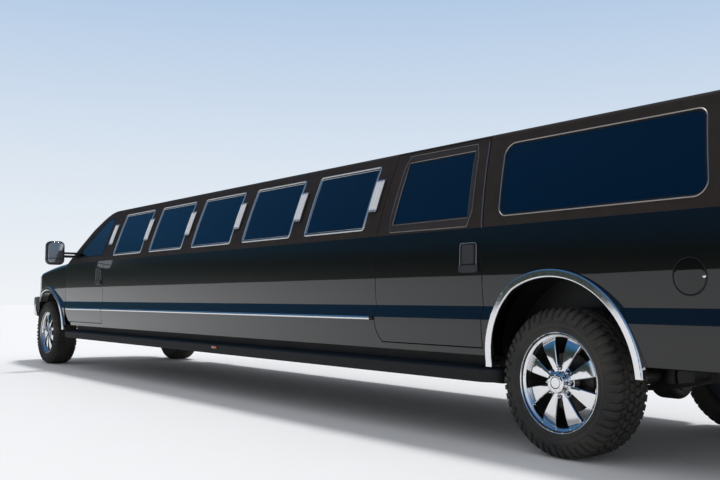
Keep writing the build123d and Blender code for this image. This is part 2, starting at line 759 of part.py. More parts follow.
# Mirrors
MIRROR_OUT_Y = 1380
mirror_head = block((DOOR_FRONT_X - 480, DOOR_FRONT_X - 372), (1175, MIRROR_OUT_Y), (1232, 1510))
mirror_head = fillet(mirror_head.edges().filter_by(Axis.X), 58)
mirror_back = mirror_head.faces().sort_by(Axis.X)[-1]
mirror_head = fillet(mirror_back.edges(), 40)
mirror_rim = mirror_head.faces().sort_by(Axis.X)[0]
mirror_head = fillet(mirror_rim.edges(), 10)
foot = crosswise(outline(
    (DOOR_FRONT_X - 385, 1325),
    (DOOR_FRONT_X - 385, 1385),
    (DOOR_FRONT_X - 290, 1325),
), 800, 1100)
mirror_skin = lengthwise(body_section(30), REAR_X, FRONT_X)
arms = block((DOOR_FRONT_X - 440, DOOR_FRONT_X - 320), (900, 1200), (1325, 1350))
arms = arms + block((DOOR_FRONT_X - 440, DOOR_FRONT_X - 350), (900, 1200), (1365, 1385))
mirror_arm = (arms + (foot & mirror_skin) - lengthwise(body_section(), REAR_X, FRONT_X))
mirror_piece = mirror_head + mirror_arm
save("mirror_left", mirror_piece)
save("mirror_right", mirrored(mirror_piece))

# Tail: liftgate with its glass, and two lower doors
tail_wall = wall & block((REAR_X, TAIL_SIDE_X + 250), (-1100, 1100), (400, PANEL_SPLIT_Z))
tail_panel = tail_wall & lengthwise(offset(tail_opening(), -GAP / 2), REAR_X, TAIL_SIDE_X + 250)
liftgate = tail_panel & block((REAR_X, 0), (-1100, 1100), (LIFTGATE_FOOT_Z + GAP / 2, 2000))
tail_window = outline((-760, 1290), (-640, 1765), (640, 1765), (760, 1290))
tail_window_hole = lengthwise(tail_window, REAR_X, TAIL_SIDE_X + 300)
save("liftgate", liftgate - tail_window_hole)
tail_glass = ahead_of_tail(GLASS_INSET) - ahead_of_tail(GLASS_INSET + GLASS_THICK)
tail_glass = tail_glass & lengthwise(offset(tail_window, -FIT), REAR_X, TAIL_SIDE_X + 300)
save("liftgate_glass", tail_glass)
lower_door = tail_panel & block((REAR_X, 0), (GAP / 2, 1100), (400, LIFTGATE_FOOT_Z - GAP / 2))
save("lower_door_left", lower_door)
save("lower_door_right", mirrored(lower_door))
tail_lamp = tail_lamp_zone & form
save("taillamps", *both(tail_lamp))

# Bumpers, with holes for the plates
PLATE_SPACING = 177.8
PLATE_HOLE_R = 3.3
FRONT_PLATE_Z = 730
REAR_PLATE_Z = 540
front_bar = outline(
    (NOSE_BREAK_X + GAP, 972),
    ((FRONT_X - 220, 932), (FRONT_X - 90, 810)),
    ((FRONT_X - 60, 760), (FRONT_X - 45, 690)),
    ((FRONT_X, 0), (FRONT_X - 45, -690)),
    ((FRONT_X - 60, -760), (FRONT_X - 90, -810)),
    ((FRONT_X - 220, -932), (NOSE_BREAK_X + GAP, -972)),
)
bar_corners = front_bar.vertices().filter_by(lambda corner: corner.X > FRONT_X - 200)
front_bumper = upright(fillet(bar_corners, 90), BUMPER_FOOT_Z, BUMPER_TOP_Z)
bumper_edges = []
for edge in front_bumper.edges():
    middle = edge.center()
    along = abs(middle.Z - (BUMPER_FOOT_Z + BUMPER_TOP_Z) / 2) > 100
    if along and middle.X > NOSE_BREAK_X + GAP + 20:
        bumper_edges.append(edge)
front_bumper = fillet(bumper_edges, 26)
front_bumper = front_bumper - upright(offset(front_bar, -70), 400, BUMPER_TOP_Z - 40)
front_bumper = front_bumper - block((0, NOSE_BREAK_X + 80), (-905, 905), (400, BUMPER_TOP_Z - 40))
for side_y in (-1, 1):
    low_y, high_y = sorted((side_y * RAIL_INNER_Y, side_y * RAIL_OUTER_Y))
    bracket_z = (BUMPER_FOOT_Z - 60, BUMPER_FOOT_Z + 40)
    front_bumper = front_bumper + block((RAIL_FRONT_X, FRONT_X - 40), (low_y, high_y), bracket_z)
    plate_y = side_y * PLATE_SPACING / 2
    front_bumper = front_bumper - rod_x(plate_y, FRONT_PLATE_Z, FRONT_X - 100, FRONT_X + 10, PLATE_HOLE_R)
save("front_bumper", front_bumper)
rear_bar = block((REAR_X, TAIL_X - 12), (-965, 965), (470, TAIL_SILL_Z - 10))
rear_bar = fillet(rear_bar.edges().filter_by(Axis.Z), 45)
for side_y in (-1, 1):
    low_y, high_y = sorted((side_y * RAIL_INNER_Y, side_y * RAIL_OUTER_Y))
    rear_bar = rear_bar + block((TAIL_X - 40, RAIL_REAR_X), (low_y, high_y), (470, SILL_Z - GAP))
    plate_y = side_y * PLATE_SPACING / 2
    rear_bar = rear_bar - rod_x(plate_y, REAR_PLATE_Z, REAR_X - 10, REAR_X + 40, PLATE_HOLE_R)
HITCH_OUTER = 64
HITCH_SOCKET = 51
HITCH_PIN_R = 8
HITCH_PIN_BACK = 60
hitch_x = REAR_X + 10
hitch_z = (RAIL_Z - HITCH_OUTER, RAIL_Z)
hitch_y = (-HITCH_OUTER / 2, HITCH_OUTER / 2)
hitch_wall = (HITCH_OUTER - HITCH_SOCKET) / 2
socket_y = (-HITCH_SOCKET / 2, HITCH_SOCKET / 2)
socket_z = (hitch_z[0] + hitch_wall, hitch_z[1] - hitch_wall)
hitch = block((hitch_x, RAIL_REAR_X + 140), hitch_y, hitch_z)
hitch = hitch + block((TAIL_X - 60, TAIL_X - 20), hitch_y, (RAIL_Z - 5, RAIL_Z + 5))
hitch = hitch - block((REAR_X, RAIL_REAR_X), socket_y, socket_z)
hitch = hitch - rod_y(hitch_x + HITCH_PIN_BACK, RAIL_Z - HITCH_OUTER / 2, -60, 60, HITCH_PIN_R)
save("rear_bumper", rear_bar + hitch)

# Frame
rail = block((RAIL_REAR_X, RAIL_FRONT_X), (RAIL_INNER_Y, RAIL_OUTER_Y), (RAIL_Z, FLOOR_Z))
frame = rail + mirrored(rail)
CROSS_MEMBERS = 9
cross_span = RAIL_FRONT_X - RAIL_REAR_X - 200
for index in range(CROSS_MEMBERS):
    x = RAIL_REAR_X + 100 + cross_span * index / (CROSS_MEMBERS - 1)
    frame = frame + block((x - 40, x + 40), (-RAIL_INNER_Y, RAIL_INNER_Y), (RAIL_Z, RAIL_Z + 60))
save("frame_rails", frame)

# Running boards
BOARD_OUT_Y = 1030
board = block((REAR_AXLE_X + 430, DOOR_FRONT_X - 110), (880, BOARD_OUT_Y), (365, 448))
board_corners = board.edges().filter_by(Axis.Z).group_by(Axis.Y)[-1].sort_by(Axis.X)
board = fillet(board_corners[0], 125)
board_corners = board.edges().filter_by(Axis.Z).sort_by(Axis.X)
board = fillet(board_corners[-1:], 40)
board = fillet(board.edges().filter_by(lambda edge: edge.center().Z > 440 and edge.center().Y > 900), 18)
BOARD_BRACKETS = 6
bracket_pitch = (DOOR_FRONT_X - REAR_AXLE_X - 1360) / (BOARD_BRACKETS - 1)
for index in range(BOARD_BRACKETS):
    x = REAR_AXLE_X + 900 + index * bracket_pitch
    board = board + block((x - 30, x + 30), (RAIL_OUTER_Y, 900), (425, 448))
    board = board + block((x - 30, x + 30), (RAIL_OUTER_Y, RAIL_OUTER_Y + 20), (425, 560))
save("running_boards", *both(board))

# Under the floor
tank = block((REAR_AXLE_X + 900, REAR_AXLE_X + 2200), (100, 500), (300, RAIL_Z))
save("fuel_tank", fillet(tank.edges().filter_by(Axis.X), 30))
ENGINE_X = (FRONT_AXLE_X - 650, FRONT_AXLE_X + 250)
engine = block(ENGINE_X, (-330, 330), (530, 1090))
engine = engine + block((FRONT_AXLE_X - 1500, ENGINE_X[0]), (-150, 150), (RAIL_Z + 61, FLOOR_Z - 4))
engine = engine + block((FRONT_AXLE_X - 1500, FRONT_AXLE_X - 1250), (-150, 150), (350, RAIL_Z + 61))
save("engine_block", engine)
SHAFT_Z = 415
SHAFT_R = 45
shaft = rod_x(0, SHAFT_Z, REAR_AXLE_X + 190, FRONT_AXLE_X - 1500, SHAFT_R)
shaft = shaft + rod_x(0, SHAFT_Z, FRONT_AXLE_X - 1530, FRONT_AXLE_X - 1500, 62)
for index in (3, 4, 5):
    x = RAIL_REAR_X + 100 + cross_span * index / (CROSS_MEMBERS - 1)
    shaft = shaft + block((x - 30, x + 30), (-75, 75), (SHAFT_Z - 60, RAIL_Z))
save("driveshaft", shaft)
PIPE_Y = -620
PIPE_Z = 545
PIPE_HANGERS = 6
MUFFLER_X = (REAR_AXLE_X + 2303, REAR_AXLE_X + 3203)
pipe = rod_x(PIPE_Y, PIPE_Z, REAR_X + 359, FRONT_AXLE_X - 1159, 32)
pipe = pipe + rod_x(PIPE_Y, PIPE_Z, MUFFLER_X[0], MUFFLER_X[1], 85)
hanger_pitch = (FRONT_AXLE_X - REAR_AXLE_X - 1262) / (PIPE_HANGERS - 1)
for index in range(PIPE_HANGERS):
    x = REAR_AXLE_X - 497 + index * hanger_pitch
    pipe = pipe + block((x - 15, x + 15), (PIPE_Y, -RAIL_OUTER_Y), (PIPE_Z - 20, PIPE_Z + 20))
save("exhaust", pipe)

# Axles
axle_beam = rod_y(FRONT_AXLE_X, TYRE_R, -KINGPIN_Y, KINGPIN_Y, 42)
for side_y in (-1, 1):
    pin_y = side_y * KINGPIN_Y
    axle_beam = axle_beam + rod_z(FRONT_AXLE_X, pin_y, TYRE_R - 45, TYRE_R + 45, 36)
    gone = rod_z(FRONT_AXLE_X, pin_y, TYRE_R - 46, TYRE_R + 46, 60)
    gone = gone - rod_z(FRONT_AXLE_X, pin_y, TYRE_R - 45, TYRE_R + 45, 36)
    outer_y = sorted((pin_y, side_y * (KINGPIN_Y + 70)))
    outer = block((FRONT_AXLE_X - 60, FRONT_AXLE_X + 60), outer_y, (300, 500))
    axle_beam = axle_beam - (gone & outer)
    axle_beam = axle_beam + rod_z(FRONT_AXLE_X, pin_y, TYRE_R - 75, TYRE_R + 75, KINGPIN_R)


def leaf_spring(axle_x, side_y):
    """Leaf spring on its axle, its eyes held in hangers under the rail."""
    half = 620
    y = sorted((side_y * 432, side_y * 503))
    leaves = outline(
        (axle_x - half, 428),
        ((axle_x, TYRE_R - 60), (axle_x + half, 428)),
        (axle_x + half, 440),
        ((axle_x, TYRE_R - 30), (axle_x - half, 440)),
    )
    spring = crosswise(leaves, *y)
    for end_x in (axle_x - half, axle_x + half):
        spring = spring + block((end_x - 25, end_x + 25), y, (420, RAIL_Z))
    return spring


front_axle = axle_beam + leaf_spring(FRONT_AXLE_X, 1) + leaf_spring(FRONT_AXLE_X, -1)
save("front_axle", front_axle)
rear_axle = rod_y(REAR_AXLE_X, TYRE_R, -WHEEL_Y - 20, WHEEL_Y + 20, 48)
differential = rod_x(0, TYRE_R, REAR_AXLE_X - 105, REAR_AXLE_X + 60, 138)
differential = fillet(differential.edges(), 38)
cover = rod_x(0, TYRE_R, REAR_AXLE_X - 118, REAR_AXLE_X - 60, 84)
rear_axle = rear_axle + differential + cover
rear_axle = rear_axle + rod_x(0, SHAFT_Z, REAR_AXLE_X, REAR_AXLE_X + 190, 60)
for side_y in (-1, 1):
    end_y = sorted((side_y * (WHEEL_Y - 45), side_y * 1000))
    rear_axle = rear_axle - rod_y(REAR_AXLE_X, TYRE_R, *end_y, 60)
rear_axle = rear_axle + rod_y(REAR_AXLE_X, TYRE_R, -WHEEL_Y - 80, WHEEL_Y + 80, SPINDLE_R)
rear_axle = rear_axle + leaf_spring(REAR_AXLE_X, 1) + leaf_spring(REAR_AXLE_X, -1)
rear_axle = rear_axle & block((REAR_AXLE_X - 700, REAR_AXLE_X + 700), (-1000, 1000), (0, RAIL_Z))
save("rear_axle", rear_axle)

ear = rod_z(FRONT_AXLE_X, KINGPIN_Y, TYRE_R + 45 + FIT, TYRE_R + 75, 34)
ear = ear + rod_z(FRONT_AXLE_X, KINGPIN_Y, TYRE_R - 75, TYRE_R - 45 - FIT, 34)
knuckle_x = (FRONT_AXLE_X - 34, FRONT_AXLE_X + 34)
knuckle = ear + block(knuckle_x, (KINGPIN_Y, KINGPIN_Y + 50), (TYRE_R - 75, TYRE_R + 75))
knuckle = knuckle - rod_z(FRONT_AXLE_X, KINGPIN_Y, TYRE_R - 45 - FIT, TYRE_R + 45 + FIT, 40)
knuckle = knuckle - rod_z(FRONT_AXLE_X, KINGPIN_Y, 200, 600, KINGPIN_R + FIT)
knuckle = knuckle + rod_y(FRONT_AXLE_X, TYRE_R, KINGPIN_Y + 42, WHEEL_Y + 80, SPINDLE_R)
save("knuckle_left", knuckle)
save("knuckle_right", mirrored(knuckle))

# Tyre: a ring of flat faces, each shoulder with a row of lugs, staggered from side to side
tyre_half = TYRE_WIDTH / 2
TYRE_SECTORS = 2 * TYRE_LUGS
# Each point of the section is its distance from the middle and its radius
bead_foot = (tyre_half - 22 - FIT, TYRE_BORE_R / cos(radians(180 / TYRE_SECTORS)))
bead_top = (tyre_half - 22 - FIT, RIM_LIP_R + 2)
side_wall = (tyre_half, 322)
lug_foot = (tyre_half - 3, 364)
lug_side = (tyre_half - 9, 390)
lug_head = (tyre_half - 24, TYRE_R)
groove_floor = (tyre_half - 30, 384)
tread_edge = (tyre_half - 62, TYRE_R)


def tyre_point(boundary, side, point):
    """A point of the tyre's section, on one side and at one boundary between sectors."""
    angle = radians(boundary * 360 / TYRE_SECTORS)
    return Vector(point[1] * sin(angle), side * point[0], point[1] * cos(angle))


def flat_face(points):
    return Face(Wire.make_polygon(points, close=True))


def tyre_strip(sector, near, far):
    """Flat face across one sector. Near and far are its edges, each a side and a point."""
    corners = [tyre_point(sector, *near), tyre_point(sector, *far)]
    corners = corners + [tyre_point(sector + 1, *far), tyre_point(sector + 1, *near)]
    return flat_face(corners)


def lugged_tyre():
    lug_wall = (lug_foot, lug_side, lug_head, tread_edge, groove_floor)
    faces = []
    for sector in range(TYRE_SECTORS):
        tread = []
        for side in (1, -1):
            lugged = (sector + (side < 0)) % 2 == 0
            shoulder = (lug_side, lug_head) if lugged else (groove_floor, tread_edge)
            chain = (bead_foot, bead_top, side_wall, lug_foot) + shoulder
            for near, far in zip(chain, chain[1:]):
                faces.append(tyre_strip(sector, (side, near), (side, far)))
            faces.append(flat_face([tyre_point(sector, side, point) for point in lug_wall]))
            tread_points = [(side, lug_head), (side, tread_edge)] if lugged else [(side, tread_edge)]
            tread = tread + tread_points if side > 0 else tread + tread_points[::-1]
        corners = [tyre_point(sector, *place) for place in tread]
        corners = corners + [tyre_point(sector + 1, *place) for place in reversed(tread)]
        faces.append(flat_face(corners))
        faces.append(tyre_strip(sector, (1, bead_foot), (-1, bead_foot)))
    return Solid(Shell(faces))


# Rim, drawn as a half section round the axle: radius, distance along the axle
rim_section = outline(
    (RIM_LIP_R, tyre_half - 22),
    (RIM_LIP_R, tyre_half - 14),
    (TYRE_BORE_R - 16, tyre_half - 14),
    (TYRE_BORE_R - 20, -tyre_half + 14),
    (RIM_LIP_R, -tyre_half + 14),
    (RIM_LIP_R, -tyre_half + 22),
    (TYRE_BORE_R - FIT, -tyre_half + 22),
    (TYRE_BORE_R - FIT, tyre_half - 22),
)
HUB_FACE = tyre_half - 42
hub_section = outline(
    (0, 6),
    (DISC_R, 6),
    (DISC_R, 24),
    (HUB_R, 24),
    (HUB_R, HUB_FACE - 6),
    (HUB_R - 6, HUB_FACE),
    (HUB_CAP_R, HUB_FACE),
    (HUB_CAP_R, HUB_FACE + 34),
    (HUB_CAP_R - 12, HUB_FACE + 44),
    (0, HUB_FACE + 44),
)
rim = revolve(rim_section, Axis.Y, 360) + revolve(hub_section, Axis.Y, 360)
# A blade widens from the hub to the rim, and half of each turn is left open between the blades
blade = outline((-20, 60), (20, 60), (47, TYRE_BORE_R - 10), (-47, TYRE_BORE_R - 10))
blade = Pos(0, HUB_FACE - 4, 0) * extrude(Plane.XZ * blade, amount=13, both=True)
for index in range(SPOKES):
    rim = rim + blade.rotate(Axis.Y, index * 360 / SPOKES)
spindle_end = 80 + FIT
rim = rim - rod_y(0, 0, -120, spindle_end, SPINDLE_R + FIT)
tyre = lugged_tyre()
CORNERS = (("front", FRONT_AXLE_X), ("rear", REAR_AXLE_X))
for name, axle_x in CORNERS:
    wheel_rim = Pos(axle_x, WHEEL_Y, TYRE_R) * rim
    wheel_tyre = Pos(axle_x, WHEEL_Y, TYRE_R) * tyre
    save(f"rim_{name}_left", wheel_rim)
    save(f"rim_{name}_right", mirrored(wheel_rim))
    save(f"tyre_{name}_left", wheel_tyre)
    save(f"tyre_{name}_right", mirrored(wheel_tyre))

# Inside
partition_face = space_section(FIT) & Pos(0, 1400) * Rectangle(2000, 2 * (1400 - FLOOR_TOP))
save("partition", lengthwise(partition_face, PARTITION_X, PARTITION_X + 30))
board_profile = outline(
    (FIREWALL_X, 1000),
    (FIREWALL_X, 1225),
    (FIREWALL_X - 170, 1225),
    (FIREWALL_X - 270, 1205),
    (FIREWALL_X - 320, 1160),
    (FIREWALL_X - 300, 1000),
)
board_solid = crosswise(board_profile, -880, 880)
COLUMN_Y = 400
COLUMN_R = 14
COLUMN_TILT = 115
STEERING_R = 185
grip = revolve(Plane.XZ * (Pos(STEERING_R, 0) * RegularPolygon(15, 8)), Axis.Z, 360)
steering = grip + Cylinder(40, 30) + Box(2 * STEERING_R - 10, 26, 14)
steering = steering + Pos(0, 0, 70) * Cylinder(COLUMN_R, 160)
column_place = Pos(FIREWALL_X - 400, COLUMN_Y, 1160) * Rot(0, COLUMN_TILT, 0)
board_solid = board_solid - (column_place * Cylinder(COLUMN_R + FIT, 500))
save("dashboard", board_solid)
save("steering_wheel", column_place * steering)


def seat(x_rear, y_low, y_high):
    """Seat facing forward, drawn in side view: base, cushion and a back leaning to the rear."""
    view = outline(
        (x_rear - 60, FLOOR_TOP),
        (x_rear + 490, FLOOR_TOP),
        (x_rear + 520, 940),
        ((x_rear + 505, 995), (x_rear + 450, 1010)),
        (x_rear + 60, 985),
        (x_rear - 10, 1440),
        ((x_rear - 60, 1478), (x_rear - 110, 1430)),
        (x_rear - 60, 900),
    )
    return crosswise(view, y_low, y_high)


BENCH_X = (REAR_DOOR_FRONT_X + 330, PARTITION_X - 430)
BENCH_Y = -890
side_bench = block(BENCH_X, (BENCH_Y, BENCH_Y + 540), (FLOOR_TOP, 1060))
side_bench = side_bench + block(BENCH_X, (BENCH_Y, BENCH_Y + 130), (1000, 1290))
front_seat_x = PARTITION_X + 290
rear_seat_x = REAR_AXLE_X + 253
front_seats = (seat(front_seat_x, 180, 720), seat(front_seat_x, -720, -180))
save("seats", *front_seats, seat(rear_seat_x, -660, 660), side_bench)
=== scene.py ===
from math import asin, cos, exp, hypot, pi, radians, sin

import bmesh
import bpy
from bpy.props import FloatProperty, FloatVectorProperty, IntProperty, PointerProperty
from mathutils import Matrix, Vector
from mathutils.bvhtree import BVHTree


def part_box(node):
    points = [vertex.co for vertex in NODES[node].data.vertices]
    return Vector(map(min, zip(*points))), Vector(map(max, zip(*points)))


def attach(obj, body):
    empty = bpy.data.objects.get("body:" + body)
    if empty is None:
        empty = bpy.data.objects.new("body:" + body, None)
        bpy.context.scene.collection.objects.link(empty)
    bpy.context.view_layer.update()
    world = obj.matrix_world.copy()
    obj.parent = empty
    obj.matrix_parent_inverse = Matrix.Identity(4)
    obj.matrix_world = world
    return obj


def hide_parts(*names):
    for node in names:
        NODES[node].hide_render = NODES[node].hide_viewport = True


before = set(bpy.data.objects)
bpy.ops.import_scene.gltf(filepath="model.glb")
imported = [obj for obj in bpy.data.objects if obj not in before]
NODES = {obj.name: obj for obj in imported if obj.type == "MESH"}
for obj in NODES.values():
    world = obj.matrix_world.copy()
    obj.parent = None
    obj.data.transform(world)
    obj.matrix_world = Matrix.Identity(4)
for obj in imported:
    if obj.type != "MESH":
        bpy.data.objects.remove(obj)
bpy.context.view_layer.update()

bl_info = {
    "name": "Stretch limousine dressing",
    "version": (1, 0, 0),
    "blender": (4, 5, 0),
    "location": "View3D > Sidebar > Limousine",
    "description": "Finishes, trims, tyres, lamps and seats for a stretch limousine",
    "category": "Object",
}

MM = 0.001
FORWARD, LEFT, UP = Vector((1, 0, 0)), Vector((0, 1, 0)), Vector((0, 0, 1))
SIDES = (("left", 1), ("right", -1))
WHEELS = tuple((f"{end}_{word}", side) for end in ("front", "rear") for word, side in SIDES)
# Places well outside the car, along, across and above it, from which rays look for its surface
FAR_X, FAR_Y, FAR_Z = 8, 2, 3
# Materials by finish and search trees by CAD node, filled as the script runs
MATERIALS = {}
TREES = {}


# Helpers


def linear(hex_colour):
    """sRGB hex colour as the four linear values that a shader takes."""
    channels = [int(hex_colour[i : i + 2], 16) / 255 for i in (1, 3, 5)]
    return [c / 12.92 if c <= 0.04045 else ((c + 0.055) / 1.055) ** 2.4 for c in channels] + [1]


def add_piece(name, part, finish, body, sharp=35):
    """New piece that rides on a body, with its edges sharp where faces meet at over sharp degrees."""
    mesh = bpy.data.meshes.new(name)
    mesh.from_pydata([tuple(v) for v in part[0]], [], part[1])
    mesh.validate()
    tidy = bmesh.new()
    tidy.from_mesh(mesh)
    bmesh.ops.recalc_face_normals(tidy, faces=tidy.faces)
    tidy.to_mesh(mesh)
    tidy.free()
    mesh.shade_smooth()
    mesh.set_sharp_from_angle(angle=radians(sharp))
    mesh.materials.append(MATERIALS[finish])
    piece = bpy.data.objects.new(name, mesh)
    bpy.context.scene.collection.objects.link(piece)
    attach(piece, body)
    return piece


def spaced(first, last, count):
    """Evenly spaced values from first to last."""
    return [first + (last - first) * k / (count - 1) for k in range(count)]


def ring_of_points(count, radius, height, shift=0.0):
    """Points evenly round a wheel's axis, at one radius and one height along it."""
    angles = [2 * pi * (k + shift) / count for k in range(count)]
    return [Vector((radius * cos(a), height, radius * sin(a))) for a in angles]


def join_parts(parts):
    """Vertices and faces of several (vertices, faces) parts as one."""
    vertices, faces = [], []
    for part_vertices, part_faces in parts:
        first = len(vertices)
        vertices.extend(part_vertices)
        faces.extend([[first + i for i in face] for face in part_faces])
    return vertices, faces


def moved(part, matrix):
    """A (vertices, faces) part with its vertices taken through a matrix."""
    return [matrix @ Vector(v) for v in part[0]], part[1]


def basis_at(place, x_axis, y_axis, z_axis):
    """Matrix that takes a part's own x, y and z to three directions at a place."""
    return Matrix.Translation(place) @ Matrix((x_axis, y_axis, z_axis)).transposed().to_4x4()


def swept(stations, closed):
    """Skin through stations, each a ring of points; an open run gets end caps."""
    count = len(stations[0])
    vertices = [p for ring in stations for p in ring]
    faces = []
    runs = len(stations) if closed else len(stations) - 1
    for i in range(runs):
        j = (i + 1) % len(stations)
        for k in range(count):
            n = (k + 1) % count
            faces.append([i * count + k, i * count + n, j * count + n, j * count + k])
    if not closed:
        faces.append(list(range(count)))
        faces.append([(len(stations) - 1) * count + k for k in range(count)])
    return vertices, faces


def strip(path, ups, profile, closed=False):
    """Profile of (across, up) points carried along a path that lies on a surface with normals ups."""
    longest_mitre = 1.6
    stations = []
    count = len(path)
    for i in range(count):
        before = path[(i - 1) % count] if closed or i > 0 else path[i]
        after = path[(i + 1) % count] if closed or i < count - 1 else path[i]
        ahead = (after - before).normalized()
        across = ahead.cross(ups[i]).normalized()
        stretch = 1
        if before is not path[i] and after is not path[i]:
            turn = (path[i] - before).normalized().dot((after - path[i]).normalized())
            stretch = min(longest_mitre, (2 / (1 + max(turn, -0.2))) ** 0.5)
        stations.append([path[i] + across * (a * stretch) + ups[i] * u for a, u in profile])
    return swept(stations, closed)


def strip_over(spots, profile):
    """Profile carried along (point, normal) spots on a surface."""
    path, ups = zip(*spots)
    return strip(path, ups, profile)


def half_round(half, proud, sunk, steps, rise=0.0):
    """Rounded profile of a moulding, with its foot sunk below the surface."""
    arc = [(half * cos(pi * k / steps), proud * sin(pi * k / steps) + rise) for k in range(steps + 1)]
    return arc + [(-half, -sunk), (half, -sunk)]


def mirrored(half):
    """Profile from its first half and that half's mirror image."""
    return half + tuple((-a, u) for a, u in reversed(half))


def lathe(profile, centre, segments=64, axis=LEFT):
    """Closed profile of (radius, along) points turned round an axis through centre."""
    side = axis.orthogonal().normalized()
    other = axis.cross(side)
    stations = []
    for i in range(segments):
        angle = 2 * pi * i / segments
        out = side * cos(angle) + other * sin(angle)
        stations.append([centre + out * r + axis * a for r, a in profile])
    return swept(stations, True)


def rounded_box(low, high, radius, steps=3):
    """Box between two corners with its edges and corners rounded."""
    work = bmesh.new()
    bmesh.ops.create_cube(work, size=1)
    for v in work.verts:
        v.co = Vector((low[i] if v.co[i] < 0 else high[i] for i in range(3)))
    bmesh.ops.bevel(work, geom=work.edges[:], offset=radius, segments=steps, profile=0.5, affect="EDGES")
    work.verts.ensure_lookup_table()
    part = [v.co.copy() for v in work.verts], [[v.index for v in f.verts] for f in work.faces]
    work.free()
    return part


def side_block(place, side, half_x, half_z, sunk, proud, radius):
    """Rounded block on the car's side, from sunk below the skin to proud above it."""
    low_y, high_y = sorted((place.y - side * sunk, place.y + side * proud))
    low = (place.x - half_x, low_y, place.z - half_z)
    return rounded_box(low, (place.x + half_x, high_y, place.z + half_z), radius)


def rounded_outline(half_x, half_z, radii, steps=6):
    """Closed outline of a rectangle, its corner radii from the upper right round to the lower right."""
    points = []
    for turn, (sx, sz) in enumerate(((1, 1), (-1, 1), (-1, -1), (1, -1))):
        radius = radii[turn]
        middle = Vector((sx * (half_x - radius), 0, sz * (half_z - radius)))
        for k in range(steps + 1):
            angle = pi / 2 * (turn + k / steps)
            points.append(middle + Vector((cos(angle), 0, sin(angle))) * radius)
    return points


def slab(outline, back, front, chamfer):
    """Plate between two heights along y with its front edge eased."""
    middle = sum(outline, Vector()) / len(outline)
    reach = max((p - middle).length for p in outline)
    inner = [middle + (p - middle) * (1 - chamfer / reach) for p in outline]
    rings = []
    for ring, height in ((outline, back), (outline, front - chamfer), (inner, front)):
        rings.append([p + Vector((0, height, 0)) for p in ring])
    return swept(rings, False)


# Reading the CAD nodes


def islands(node):
    """The separate solids of a CAD node, each a list of (normal, corners) faces."""
    work = bmesh.new()
    work.from_mesh(NODES[node].data)
    bmesh.ops.remove_doubles(work, verts=work.verts, dist=1e-5)
    work.faces.ensure_lookup_table()
    seen = set()
    found = []
    for face in work.faces:
        if face.index in seen:
            continue
        group, waiting = [], [face]
        seen.add(face.index)
        while waiting:
            here = waiting.pop()
            group.append(here)
            for edge in here.edges:
                for other in edge.link_faces:
                    if other.index not in seen:
                        seen.add(other.index)
                        waiting.append(other)
        found.append([(f.normal.copy(), [v.co.copy() for v in f.verts]) for f in group])
    work.free()
    return found


def pane_solids(node):
    """Each solid of a node with the side that it is on, or 0 where it crosses the middle."""
    found = []
    for faces in islands(node):
        ys = [p.y for _, corners in faces for p in corners]
        side = 0 if min(ys) < 0 < max(ys) else (1 if max(ys) > 0 else -1)
        found.append((side, faces))
    return found


def rim_loop(faces, facing):
    """Closed loop of points and normals round the part of a solid that looks along facing."""
    least_facing = 0.6
    edges, normals = {}, {}
    for normal, corners in faces:
        if normal.dot(facing) < least_facing:
            continue
        keys = [tuple(round(c, 5) for c in p) for p in corners]
        for i, key in enumerate(keys):
            edges[key, keys[(i + 1) % len(keys)]] = True
            normals[key] = normals.get(key, Vector()) + normal
    border = {a: b for a, b in edges if (b, a) not in edges}
    start = min(border)
    loop = [start]
    while border[loop[-1]] != start and len(loop) <= len(border):
        loop.append(border[loop[-1]])
    return [Vector(p) for p in loop], [normals[p].normalized() for p in loop]


def thinned(loop, ups, least=0.004):
    """The loop without points closer together than least."""
    kept = [0]
    for i in range(1, len(loop)):
        if (loop[i] - loop[kept[-1]]).length > least and (loop[i] - loop[0]).length > least:
            kept.append(i)
    return [loop[i] for i in kept], [ups[i] for i in kept]


def tree_of(node):
    """Search tree of a CAD node's mesh, made once."""
    if node not in TREES:
        mesh = NODES[node].data
        faces = [list(p.vertices) for p in mesh.polygons]
        TREES[node] = BVHTree.FromPolygons([v.co for v in mesh.vertices], faces)
    return TREES[node]


def ray_point(node, origin, towards):
    """Point and outward normal where a ray first meets a CAD node."""
    place, normal, _, _ = tree_of(node).ray_cast(Vector(origin), Vector(towards))
    if place is None:
        raise RuntimeError(f"{node} isn't met from {tuple(origin)}")
    return place, (normal if normal.dot(Vector(towards)) < 0 else -normal)


def skin_point(node, x, z, side):
    """Point and normal where a CAD node's outer face stands, at x and z, on one side of the car."""
    return ray_point(node, (x, side * FAR_Y, z), (0, -side, 0))


def edge_point(node, z, side, inset):
    """Outer skin point a little inside a door's rear edge at height z, found by looking along the door."""
    step, innermost_skin = 0.002, 0.6
    low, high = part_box(node)
    x = low.x - 2 * step
    while x < high.x:
        place = tree_of(node).ray_cast(Vector((x, side * FAR_Y, z)), Vector((0, -side, 0)))[0]
        if place is not None and place.y * side > innermost_skin:
            return skin_point(node, x + inset, z, side)
        x += step
    raise RuntimeError(f"{node} has no edge at z {z:.3f}")


def outer_of(faces, x, z, side):
    """Point and normal on a solid's outer face at x and z."""
    margin = 1e-4
    best = None
    for normal, ring in faces:
        if normal.y * side < 0.5:
            continue
        origin = ring[0]
        along = normal.x * (x - origin.x) + normal.z * (z - origin.z)
        place = Vector((x, origin.y - along / normal.y, z))
        low = min(p.z for p in ring) - margin
        high = max(p.z for p in ring) + margin
        gap = max(low - z, z - high, 0)
        if best is None or gap < best[0]:
            best = (gap, place, normal)
    return best[1], best[2]


def wheel_centre(wheel):
    """Middle of a wheel, from its tyre's box."""
    low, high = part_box(f"tyre_{wheel}")
    return (low + high) / 2


# Materials


